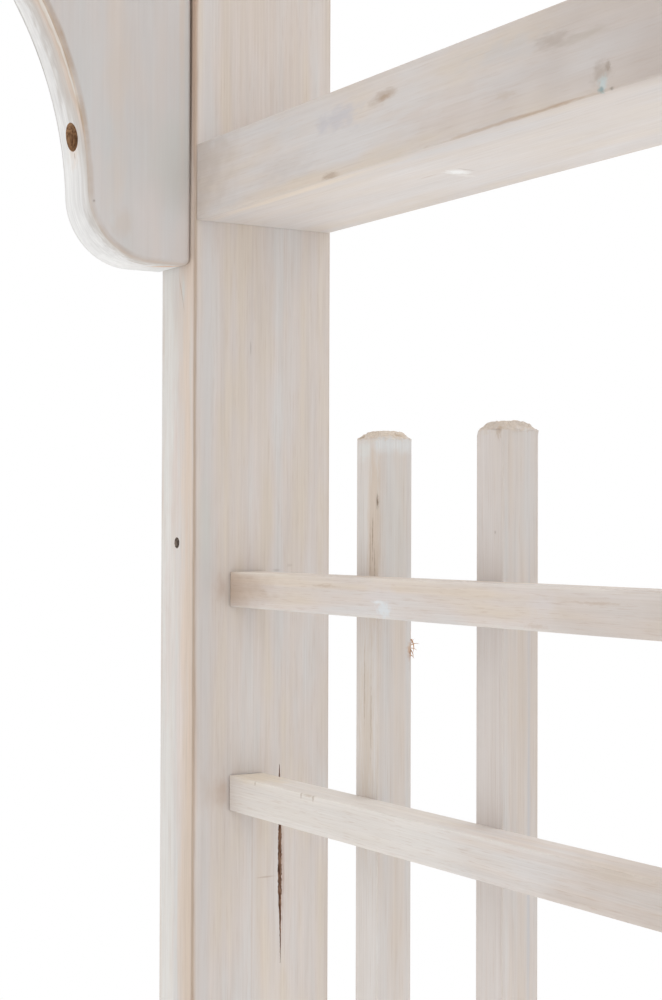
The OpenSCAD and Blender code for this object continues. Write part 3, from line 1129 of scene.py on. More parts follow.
@dataclass
class Screws:
    """The screws, with crossed recesses: countersunk ones just under the face, and pan heads in counterbores.

    Attributes:
        sunk_mm: Depth of a countersunk head under the face.
        bracket_floor_mm: Wood under the counterbore of a bracket.
        bracket_at_mm: Distance of a bracket's screw from its nearer tip.
        lintel_bore_mm: Depth of a lintel's counterbore.
        pan: Side view of a pan head: shares of its height and of its radius, from the top down.
        recess: The recess's arm, half the arm's width and its depth, as shares of the head's radius.
        kinds: The kind of screw of each node.
    """

    sunk_mm: float = 0.4
    bracket_floor_mm: float = 32.0
    bracket_at_mm: float = 65.5
    lintel_bore_mm: float = 15.0
    pan: tuple[Pair, ...] = ((1.0, 0.62), (0.82, 0.9), (0.45, 1.0), (0.0, 1.0))
    recess: Spot = (0.56, 0.13, 0.5)
    finish: ZincPlate = ZincPlate("zinc_plated_steel")
    kinds: dict[str, ScrewKind] = field(default_factory=lambda: {
        "bracket_screws": ScrewKind(5, 70, Head.PAN), "side_rail_screws": ScrewKind(5, 100),
        "crossbar_screws": ScrewKind(4, 70), "upright_screws": ScrewKind(3.5, 32),
        "lintel_screws": ScrewKind(6, 140, Head.PAN), "rafter_screws": ScrewKind(5, 80)})

    def screw(self, kind: ScrewKind) -> Object:
        """Makes one screw, its point down, with its head's face or the seat of its pan head at the origin.

        Args:
            kind: The kind of screw.

        Returns:
            The object.
        """
        thick = kind.size_mm * MM / 2
        reach = kind.length_mm * MM
        head = 2 * thick
        if kind.head is Head.PAN:
            top = kind.size_mm * 0.6 * MM
            profile = [(top * height, head * wide) for height, wide in self.pan] + [(0.0, thick)]
        else:
            top = -self.sunk_mm * MM
            rim = 0.0003
            profile = [(top, head * 0.97), (top - rim, head * 0.97), (top - thick, thick)]
        profile += [(2 * thick - reach, thick), (-reach, thick * 0.15)]
        body = drill("one_screw", (0, 0, 0), (0, 0, 1), profile, 20)
        arm, half, deep = (head * share for share in self.recess)
        cross = [(arm, -half), (arm, half), (half, half), (half, arm), (-half, arm), (-half, half),
                 (-arm, half), (-arm, -half), (-half, -half), (-half, -arm), (half, -arm), (half, -half)]
        rows = [(half * 0.55, top - deep), (0.0, top + head * 0.1)]
        recess = prism("recess", np.array(cross), rows, Axis.Z)
        plating = bpy.data.materials[self.finish.name]
        body.data.materials.append(plating)
        carve(body, [recess], plating)
        smooth(body)
        return body

    def places(self) -> dict[str, list[tuple[Spot, Spot]]]:
        """Works out from the frame where each screw stands and where its head faces.

        Returns:
            For each node of screws, the point and the direction of each.
        """
        found = {name: [] for name in self.kinds}
        heights = [sum(corner.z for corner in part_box(f"crossbar_right_{i}")) / 2 for i in range(1, 7)]
        bar_x = sum(corner.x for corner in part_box("crossbar_right_1")) / 2
        rail_z = sum(corner.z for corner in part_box("side_rail_right")) / 2
        low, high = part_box("post_back_right")
        quarters = [low.x + (high.x - low.x) * share for share in (0.25, 0.75)]
        mid_y = (low.y + high.y) / 2
        board_low, board_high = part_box("bracket_back_right")
        board_y = (board_low.y + board_high.y) / 2
        bore_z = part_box("lintel_back")[1].z - self.lintel_bore_mm * MM
        rafter_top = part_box("rafter_1")[1].z
        at, floor = self.bracket_at_mm * MM, self.bracket_floor_mm * MM
        for sx in SIDES.values():
            for sy in ENDS.values():
                out, up = (0, sy, 0), (0, 0, 1)
                found["side_rail_screws"] += [((sx * x, sy * high.y, rail_z), out) for x in quarters]
                found["crossbar_screws"] += [((sx * bar_x, sy * high.y, z), out) for z in heights]
                found["lintel_screws"] += [((sx * x, sy * mid_y, bore_z), up) for x in quarters]
                found["bracket_screws"] += [
                    ((sx * (board_high.x - floor), sy * board_y, board_low.z + at), (-sx, 0, 0)),
                    ((sx * (board_low.x + at), sy * board_y, board_high.z - floor), (0, 0, -1))]
            for i in range(1, 5):
                upright_low, upright_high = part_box(f"upright_right_{i}")
                y = (upright_low.y + upright_high.y) / 2
                found["upright_screws"] += [((sx * upright_high.x, y, z), (sx, 0, 0)) for z in heights]
        for i in range(1, 8):
            x = sum(corner.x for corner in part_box(f"rafter_{i}")) / 2
            found["rafter_screws"] += [((x, sy * mid_y, rafter_top), (0, 0, 1)) for sy in ENDS.values()]
        return found

    def build(self) -> list[Object]:
        """Makes the screws of each node as one mesh.

        Returns:
            The pieces.
        """
        finish = self.finish.material()
        tree = screw_tree()
        made = []
        for seed, (node, places) in enumerate(self.places().items(), 11):
            screw = self.screw(self.kinds[node])
            mesh = bpy.data.meshes.new(node)
            mesh.from_pydata([at for at, _ in places], [], [])
            piece = object_from("zinc_" + node, mesh)
            store(piece, "way", "FLOAT_VECTOR", "POINT", np.array([way for _, way in places], float))
            run_tree(piece, tree, {"Screw": screw, "Seed": seed, "Finish": finish})
            bpy.data.objects.remove(screw)
            made.append(hand_over(piece, [node]))
        return made

    def heads(self, screws: str, node: str) -> list[tuple[Spot, Spot]]:
        """Finds the screws whose heads sit in or on a piece.

        Args:
            screws: The screws' node.
            node: The piece's node.

        Returns:
            The point and the direction of each.
        """
        low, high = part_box(node)
        return [(at, way) for at, way in self.places()[screws]
                if all(a - TOUCH < value < b + TOUCH for value, a, b in zip(at, low, high))]

    def pockets(self, screws: str, node: str) -> list[Object]:
        """Makes cutters for the countersinks of the screws in a piece.

        Args:
            screws: The screws' node.
            node: The piece's node.

        Returns:
            The cutters.
        """
        head = self.kinds[screws].size_mm * MM
        wide = head + 0.0004
        profile = [(0.002, wide), (0.0, wide), (-0.7 * head, head * 0.45), (-0.75 * head, head * 0.4)]
        return [drill("pocket", at, way, profile, 24) for at, way in self.heads(screws, node)]

    def bores(self, screws: str, node: str, wide_mm: float, out: float) -> list[Object]:
        """Makes cutters for the counterbores over the screws in a piece.

        Args:
            screws: The screws' node.
            node: The piece's node.
            wide_mm: Diameter of a counterbore.
            out: How far a cutter reaches from the counterbore's floor, in metres.

        Returns:
            The cutters.
        """
        radius = wide_mm / 2 * MM
        profile = [(0.0, radius), (out, radius)]
        return [drill("bore", at, way, profile, 40) for at, way in self.heads(screws, node)]


@dataclass
class Posts:
    """The four posts, with the holes for wire eyes, the sunk screws and the long drying crack of one of them.

    Attributes:
        edge_mm: Radius of the eased arrises.
        eye_mm: Diameter of the hole for a wire eye.
        eye_deep_mm: Its depth.
        eye_above_mm: Its height above the top of the highest crossbar.
        crack_at_mm: The crack's place across the post, and its lower and upper end.
        crack_wide_mm: The crack's greatest width.
        crack_deep_mm: Its depth.
        swells: How wide the crack is there, as a share of the greatest, at shares of its height.
    """

    edge_mm: float = 1.0
    eye_mm: float = 6.0
    eye_deep_mm: float = 30.0
    eye_above_mm: float = 15.5
    crack_at_mm: Spot = (653.9, 1296.0, 1405.0)
    crack_wide_mm: float = 2.8
    crack_deep_mm: float = 3.2
    swells: tuple[Pair, ...] = ((0.0, 0.08), (0.12, 0.30), (0.27, 0.62), (0.36, 0.90), (0.5, 1.0),
                                (0.62, 0.92), (0.7, 0.8), (0.94, 0.38), (1.0, 0.1))
    finish: Whitewash = Whitewash(
        "whitewashed_post", Axis.Z, cool="#d2cfcd", middle="#d3cbc6", warm="#d4cabf", tints=(
            Blemish((600, 331, 1400), (6, 16, 6000), "#dcdbd8", 0.9, 0.6, (5, 5, 40)),
            Blemish((599, 308, 1400), (4, 13, 6000), "#d9c9bb", 0.9, 0.7, (5, 5, 50)),
            Blemish((600, 322, 1560), (4, 9, 60), "#d8cdc7", 0.8, 0.8, (3, 4, 12)),
            Blemish((600, 330, 1480), (4, 8, 90), "#dad1cc", 0.7, 0.8, (3, 4, 16)),
            Blemish((600, 316, 1420), (4, 7, 70), "#dcd2cd", 0.7, 0.8, (3, 4, 20)),
            Blemish((600, 303, 1380), (4, 6, 300), "#d6bfab", 0.6, 0.5, (3, 3, 60)),
            Blemish((600, 306, 1310), (4, 12, 160), "#ccbdae", 0.7, 0.7, (4, 4, 40)),
            Blemish((645, 299, 1850), (60, 6, 150), "#cdc2ba", 0.6, 0.4, (12, 8, 60)),
        ), blemishes=(
            Blemish((600, 313.5, 1664), (4, 3, 13), "#d0d0cd", 0.8, 0.3, (3, 3, 12)),
            Blemish((600, 315.4, 1662), (3, 0.9, 15), "#b59b86", 0.55, 0.3, (2, 2, 6), (0, 0.3375, 0)),
            Blemish((607, 299, 1400), (6, 5, 6000), "#cfcccb", 0.55, 0.35, (4, 5, 60)),
            Blemish((607, 299, 1535), (6, 5, 42), "#cccdc8", 0.55, 0.4, (4, 5, 30)),
            Blemish((600.3, 300.3, 1400), (1.7, 1.7, 6000), "#ab9684", 0.75, 0.5, (2, 2, 26)),
            # Painted shade in the corner beside the bracket, and darker painted shade in the gap between the
            # post and the bracket.
            Blemish((600, 302, 1830), (3, 3.0, 156), "#bfa591", 0.8, 0.2, (2, 2, 40), core=0.4),
            Blemish((600, 304.8, 1830), (3, 1.5, 154), "#6f5a4a", 0.7, 0.12, (2, 2, 30), core=0.4),
            # Painted shade on the post's face beside the ends of the upper and the lower crossbar.
            Blemish((617, 299, 1502), (6, 3, 11), "#c3b2a6", 0.6, 0.5, (3, 3, 6)),
            Blemish((617, 299, 1392), (6, 3, 12), "#c3b0a2", 0.7, 0.5, (3, 3, 6)),
            Blemish((609, 299, 1392), (7, 3, 20), "#c9bbb0", 0.5, 0.5, (3, 3, 9)),
            Blemish((685, 300, 1500), (1.6, 1.6, 6000), "#b3a394", 0.5, 0.3, (2, 2, 60)),
            Blemish((641, 299, 1330), (4.5, 4, 110), "#d0c0ae", 0.5, 0.4, (4, 4, 70)),
            Blemish((636.5, 299, 1330), (0.8, 3, 110), "#b9a290", 0.4, 0.3, (1, 3, 50)),
            Blemish((645, 299, 1344), (9, 3, 0.7), "#a98f7c", 0.6, 0.3, (4, 2, 2)),
            Blemish((655.8, 299, 1347), (1.4, 3, 40), "#a5765c", 0.5, 0.4, (1, 3, 5)),
            Blemish((651.4, 299, 1511.6), (3.5, 3, 1.4), "#a89f99", 0.5, 0.4, (3, 2, 1)),
            Blemish((659.6, 299, 1514.2), (3, 3, 1.3), "#b0a39a", 0.45, 0.4, (3, 2, 1)),
            Blemish((634.4, 299, 1633), (0.7, 3, 6), "#8f7f73", 0.5, 0.2, (1, 2, 3)),
        ))
    screws: Screws = field(default_factory=Screws)

    def crack(self, face_y: float) -> Object:
        """A cutter for the drying crack: a thin wedge with uneven sides, open at the post's face.

        Args:
            face_y: Where the face is, in metres.

        Returns:
            The cutter.
        """
        x, low, high = (size * MM for size in self.crack_at_mm)
        rng = np.random.default_rng(5)
        steps = 130
        rings = []
        for share in (i / steps for i in range(steps + 1)):
            z = low + (high - low) * share
            swell = float(np.interp(share, *zip(*self.swells)))
            # Its width is uneven, and its middle leans over on the way up, in a slow wave with small jumps.
            half = self.crack_wide_mm * MM / 2 * swell * rng.uniform(0.78, 1.12)
            sway = 0.0004 - 0.0009 * share + 0.00010 * math.sin(11 * share) + rng.normal(0, 0.00007)
            deep = self.crack_deep_mm * MM * max(swell, 0.2)
            rings.append([(x + sway - half, face_y - 0.001, z), (x + sway + half, face_y - 0.001, z),
                          (x + sway + half * 0.8, face_y + deep * 0.5, z), (x + sway, face_y + deep, z),
                          (x + sway - half * 0.8, face_y + deep * 0.5, z)])
        return loft("crack", rings)

    def build(self, inside: Material) -> list[Object]:
        """Makes the posts.

        Args:
            inside: The bare wood of holes and cracks.

        Returns:
            The pieces.
        """
        finish = self.finish.material()
        torn = RawSpruce("spruce_in_a_crack", "#c4a087", "#6e4f3d").material()
        aged = RawSpruce("spruce_in_an_old_hole", "#b8a79b", "#51463e").material()
        eye_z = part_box("crossbar_right_1")[1].z + self.eye_above_mm * MM
        eye_radius = self.eye_mm / 2 * MM
        # How far the middle of each post's tree is from the post's own, and how far along the tree it lay.
        logs = {("back", "right"): (-128, 34, 0), ("back", "left"): (110, 60, 700),
                ("front", "right"): (-95, -75, 1500), ("front", "left"): (140, -25, 2300)}
        made = []
        for (end, side), log in logs.items():
            bar = Bar(f"timber_post_{end}_{side}", f"post_{end}_{side}", Axis.Z, self.edge_mm, 1.0, log)
            piece = bar.build(finish)
            low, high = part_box(bar.node)
            sx = SIDES[side]
            at = (low.x if sx > 0 else high.x, (low.y + high.y) / 2, eye_z)
            eye = drill("eye", at, (sx, 0, 0), [(-0.001, eye_radius), (self.eye_deep_mm * MM, eye_radius)])
            carve(piece, [cutter for screws in ("side_rail_screws", "crossbar_screws")
                          for cutter in self.screws.pockets(screws, bar.node)], inside)
            carve(piece, [eye], aged)
            if (end, side) == ("back", "right"):
                carve(piece, [self.crack(low.y)], torn)
            bar.finish(piece)
            made.append(hand_over(piece, [bar.node]))
        return made


@dataclass
class Brackets:
    """The four scrolled corner brackets, each sawn from one board, with two counterbores in the curved edge.

    Attributes:
        leg_mm: Height and width of a bracket.
        lobe_mm: Width of the lobe at each tip.
        lobe_round_mm: Radius of the lobe's round corner.
        curve_mm: Radius of the hollow curve between the two lobes.
        corner_mm: Radius of the tips' other corners.
        rim_mm: Radius of the eased rims.
        bore_mm: Diameter of the counterbores.
    """

    leg_mm: float = 300.0
    lobe_mm: float = 59.0
    lobe_round_mm: float = 37.0
    curve_mm: float = 212.0
    corner_mm: float = 4.0
    rim_mm: float = 3.0
    bore_mm: float = 15.0
    finish: BoardWash = BoardWash(
        "whitewashed_bracket", Axis.Z, cool="#c8c8c8", middle="#cac7c6", warm="#ccc6c3", rings_show=0.01,
        band_mm=14, fibre_tone=0.06, fibres_show=0.05, streak_tone=0.03, cloudy=0.8, cloud_tone=0.14,
        flecks=0.02, arris_share=0.05, tints=(
            Blemish((556, 304, 1770), (10, 4, 80), "#d0c6be", 0.7, 0.9, (12, 20, 40)),
            Blemish((588, 304, 1735), (26, 4, 40), "#c5c5c2", 0.7, 0.7, (20, 20, 30)),
            Blemish((570, 304, 1700), (20, 4, 30), "#cbc5c3", 0.6, 0.7, (20, 20, 30)),
            Blemish((560, 304, 1695), (9, 4, 14), "#c6bdb6", 0.6, 0.7, (8, 8, 10)),
        ), blemishes=(
            Blemish((543.2, 304, 1705.6), (0.9, 3, 1.0), "#6e6158", 0.6, 0.2, (1, 1, 1)),
            Blemish((541, 321.5, 1731.5), (6, 0.9, 3.4), "#8a7363", 0.75, 0.3, (1, 1, 1)),
            Blemish((541, 322.5, 1753.5), (6, 0.8, 0.9), "#8a7363", 0.7, 0.2, (1, 1, 1)),
            Blemish((541, 322, 1736), (20, 11, 15), "#d9bfa6", 0.35, 0.5, (4, 3, 4)),
            Blemish((562, 317.5, 1677), (4.5, 1.1, 3), "#8f8478", 0.8, 0.4, (1.5, 1, 1)),
            Blemish((551, 317, 1684), (2.5, 1.2, 5), "#b3a596", 0.6, 0.4, (1.5, 1, 1)),
            Blemish((575, 314, 1677), (12, 0.9, 3), "#b39a85", 0.6, 0.4, (3, 1, 1)),
            Blemish((572, 308.5, 1679), (16, 0.8, 4), "#b79f8b", 0.6, 0.4, (4, 1, 1)),
            Blemish((590, 315.5, 1676), (11, 4.5, 2.5), "#d7b598", 0.9, 0.5, (3, 1.2, 2), (0, -0.65, 0)),
            # Painted shade in the gap between the bracket and the post.
            Blemish((600, 305, 1830), (1.4, 2.4, 156), "#8a7462", 0.6, 0.12, (2, 2, 30), core=0.4),
            Blemish((594, 304, 1830), (3, 2, 156), "#cdb9a8", 0.4, 0.3, (2, 2, 30)),
        ))
    screws: Screws = field(default_factory=Screws)

    def outline(self, sx: int, corner_x: float, top_z: float) -> np.ndarray:
        """The outline of a bracket in the XZ plane.

        Args:
            sx: -1 for a left bracket and 1 for a right one.
            corner_x: Where its edge along the post is, in metres.
            top_z: Where its edge along the lintel is, in metres.

        Returns:
            The points, counterclockwise.
        """
        leg, turn, curve, soft = self.leg_mm, self.lobe_round_mm, self.curve_mm, self.corner_mm
        # The curve runs into both lobes, so its centre is as far from theirs as the two radii together.
        near, far = self.lobe_mm - turn, leg - turn
        centre = (near + far) / 2 + math.sqrt((curve + turn) ** 2 / 2 - ((far - near) / 2) ** 2)
        start = math.degrees(math.atan2(far - centre, near - centre)) % 360
        points = [(0.0, 0.0)]
        points += arc((leg - soft, soft), soft, -90, 0, 6)
        points += arc((far, near), turn, 0, 270 - start, 18)[1:]
        points += arc((centre, centre), curve, 90 - start, start - 360, 56)[1:]
        points += arc((near, far), turn, start - 180, 90, 18)[1:]
        points += arc((soft, leg - soft), soft, 90, 180, 6)
        spots = np.array([(corner_x - sx * x * MM, top_z - y * MM) for x, y in points])
        return spots if sx > 0 else spots[::-1]

    def build(self, inside: Material) -> list[Object]:
        """Makes the brackets.

        Args:
            inside: The bare wood of the counterbores.

        Returns:
            The pieces.
        """
        finish = self.finish.material()
        made = []
        for i, (end, side) in enumerate((e, s) for e in ENDS for s in SIDES):
            sx, sy = SIDES[side], ENDS[end]
            node = f"bracket_{end}_{side}"
            low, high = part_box(node)
            outline = self.outline(sx, high.x if sx > 0 else low.x, high.z)
            board = Shaped("board_" + node, outline, Axis.Y, (low.y, high.y), self.rim_mm,
                           (sx * (590 + 40 * i), sy * (420 + 70 * i), 900.0 * i), margin_mm=3.0)
            piece = board.build(finish)
            carve(piece, self.screws.bores("bracket_screws", node, self.bore_mm, 0.3), inside)
            board.finish(piece)
            made.append(hand_over(piece, [node]))
        return made


@dataclass
class SideRails:
    """The two side rails, the posts' timber laid flat, with the cloudy knots of the one in the photograph."""

    edge_mm: float = 1.0
    finish: Whitewash = Whitewash(
        "whitewashed_rail", Axis.Y, band_mm=14, cloudy=0.8, cloud_tone=0.16, fibre_tone=0.10,
        fibres_show=0.10, streak_tone=0.07, arris_share=0.08, cool="#d1cecd", middle="#d2cbc6",
        warm="#d3c9be", tints=(
            Blemish((600, -250, 1720), (12, 330, 70), "#beb5b0", 0.9, 0.3, (30, 60, 30), core=0.5),
            Blemish((600, 300, 1728), (5, 60, 38), "#bdb2aa", 0.6, 0.5, (20, 12, 8)),
            Blemish((601, 62, 1712), (4, 60, 12), "#cbc0b9", 0.6, 0.7, (4, 20, 4), (0, 0, 0.08)),
            Blemish((601, 155, 1727), (3, 26, 9), "#c2c0c4", 0.8, 0.8, (3, 9, 4)),
            Blemish((601, 205, 1712), (3, 40, 9), "#c9c3c0", 0.6, 0.8, (3, 10, 3)),
            Blemish((601, 20, 1730), (3, 40, 7), "#c8c6c6", 0.6, 0.8, (3, 10, 3)),
            Blemish((600, 200, 1701.5), (3, 110, 4.5), "#dccfc0", 0.6, 0.3, (3, 20, 2)),
            # Painted light: the rail's underside is a little lighter all along, as light from below falls on
            # it.
            Blemish((643, 0, 1700), (60, 6000, 1.5), "#ded8d4", 0.6, 0.2, (9, 60, 9)),
            Blemish((606, 200, 1700), (5, 130, 2), "#e3d7c8", 0.8, 0.4, (3, 30, 2)),
        ), blemishes=(
            Blemish((601, 115.5, 1729.5), (3, 15, 4.2), "#ae9a88", 0.6, 0.5, (3, 6, 1.6), (0, 0, -0.1)),
            Blemish((601, 114, 1729), (3, 8, 2.0), "#a68b72", 0.5, 0.5, (3, 3, 1.2), (0, 0, -0.1)),
            Blemish((601, -8, 1727), (3, 16, 5), "#aca097", 0.6, 0.6, (3, 7, 2), (0, 0, 0.1)),
            Blemish((601, -27, 1724.5), (3, 22, 2.8), "#b6aba0", 0.6, 0.5, (3, 8, 1.4)),
            Blemish((601, -38, 1708), (3, 8.0, 7), "#a79a8f", 0.6, 0.6, (3, 3, 2)),
            Blemish((601, -42, 1709.5), (3, 2.2, 3), "#8d7c6d", 0.5, 0.5, (3, 1, 1)),
            Blemish((601, -39, 1703.6), (3, 4, 4.4), "#c0cccd", 0.85, 0.6, (2, 1.5, 1.5)),
            Blemish((601, -38, 1701.2), (3, 2.8, 1.8), "#7f999c", 0.8, 0.5, (2, 1, 1)),
            Blemish((601, -44, 1700.7), (3, 2.0, 0.9), "#7d7468", 0.7, 0.4, (2, 1, 1)),
            Blemish((601, 22.4, 1711.5), (3, 10, 2.8), "#bfb0a2", 0.5, 0.6, (3, 4, 1.2)),
            Blemish((600, 20, 1700.4), (2.2, 84, 1.6), "#b59c85", 0.5, 0.6, (2, 12, 1), core=0.5),
            Blemish((600, -6, 1700.3), (1.9, 52, 1.2), "#a88a6f", 0.45, 0.7, (2, 8, 1), core=0.3),
            Blemish((601, 162, 1701.2), (2.5, 10, 2.2), "#a58d77", 0.6, 0.6, (2, 3.0, 0.8)),
            Blemish((643.5, 117, 1700), (8.5, 7.5, 3), "#f4f4f3", 0.9, 0.5, (2.5, 2, 2)),
            Blemish((651, 122, 1700), (8, 4.0, 3), "#e6e2de", 0.6, 0.6, (2.5, 2, 2)),
            Blemish((643.5, 110, 1700), (8, 1.2, 3), "#a99b8f", 0.5, 0.5, (2.5, 2, 2)),
            Blemish((638, 132, 1700), (0.9, 12, 2), "#b49c88", 0.45, 0.3, (1, 4, 2)),
        ))

    def build(self) -> list[Object]:
        """Makes the rails.

        Returns:
            The pieces.
        """
        finish = self.finish.material()
        made = []
        for side, log in (("right", (-60, 95, 0)), ("left", (-120, -60, 900))):
            bar = Bar(f"timber_rail_{side}", f"side_rail_{side}", Axis.Y, self.edge_mm, 0.6, log)
            piece = bar.build(finish)
            bar.finish(piece)
            made.append(hand_over(piece, [bar.node]))
        return made


@dataclass
class Splinters:
    """The torn place on the arris of one upright: a nick, and a tuft of fibres that stand off below it.

    Attributes:
        nick_mm: The nick's place across the upright and its top and bottom.
        nick_profile: Shares of the nick's height from the top down, each with its radius in millimetres.
        fibres_mm: For each fibre, its foot, how far its tip is from there, and its width.
    """

    nick_mm: tuple[float, float, float, float] = (663.7, 183.5, 1490.0, 1477.0)
    nick_profile: tuple[Pair, ...] = ((0.0, 0.2), (0.3, 0.9), (0.6, 1.5), (0.9, 1.2), (1.0, 0.2))
    fibres_mm: tuple[tuple[Spot, Spot, float], ...] = (
        ((662.9, 184.1, 1479.5), (0.5, -0.9, -7.0), 0.8),
        ((662.6, 184.0, 1476.5), (4.6, -1.5, 0.5), 0.45),
        ((662.8, 184.0, 1475.0), (2.8, -1.2, -1.3), 0.4),
        ((662.3, 184.1, 1474.5), (0.9, -1.4, -4.8), 0.6),
        ((662.7, 184.1, 1477.0), (1.8, -0.9, 2.8), 0.4),
        ((662.0, 184.1, 1473.5), (-0.8, -1.1, -3.6), 0.5),
        ((662.8, 184.1, 1471.5), (1.3, -0.8, -1.8), 0.4),
    )

    def fibre(self, shape: BMesh, foot: Vector, reach: Vector, wide: float) -> None:
        """Adds a bent fibre that tapers to a point.

        Args:
            shape: The mesh that it goes in.
            foot: Its foot, in metres.
            reach: How far its tip is from there.
            wide: Its width at the foot.
        """
        steps = 5
        side = reach.cross(Vector((0.3, 1, 0.2))).normalized()
        front = reach.cross(side).normalized()
        rings = []
        for share in (i / steps for i in range(steps)):
            spot = foot + reach * share + side * reach.length * 0.12 * math.sin(math.pi * share)
            half = wide / 2 * (1 - share) ** 0.7
            rings.append([shape.verts.new(spot + side * half * a + front * half * 0.5 * b)
                          for a, b in ((1, 0), (0, 1), (-1, 0), (0, -1))])
        tip = shape.verts.new(foot + reach)
        faces = [shape.faces.new(rings[0]), *skin(shape, rings)]
        faces += [shape.faces.new((rings[-1][i], rings[-1][(i + 1) % 4], tip)) for i in range(4)]
        bmesh.ops.recalc_face_normals(shape, faces=faces)

    def tear(self, piece: Object) -> None:
        """Cuts the nick and adds the tuft.

        Args:
            piece: The uprights, as one mesh.
        """
        torn = RawSpruce("torn_spruce_fibre", "#cf9f74", "#9c6c48").material()
        x, y, top, bottom = (size * MM for size in self.nick_mm)
        long = top - bottom
        profile = [(long * share, radius * MM) for share, radius in self.nick_profile]
        carve(piece, [drill("nick", (x, y, top), (0, 0, -1), profile, 16)], torn)
        shape = bmesh.new()
        for foot, reach, wide in self.fibres_mm:
            self.fibre(shape, Vector(foot) * MM, Vector(reach) * MM, wide * MM)
        tuft = object_from("tuft", keep(shape, bpy.data.meshes.new("tuft")))
        tuft.data.materials.append(torn)
        with bpy.context.temp_override(active_object=piece, selected_editable_objects=[piece, tuft]):
            bpy.ops.object.join()


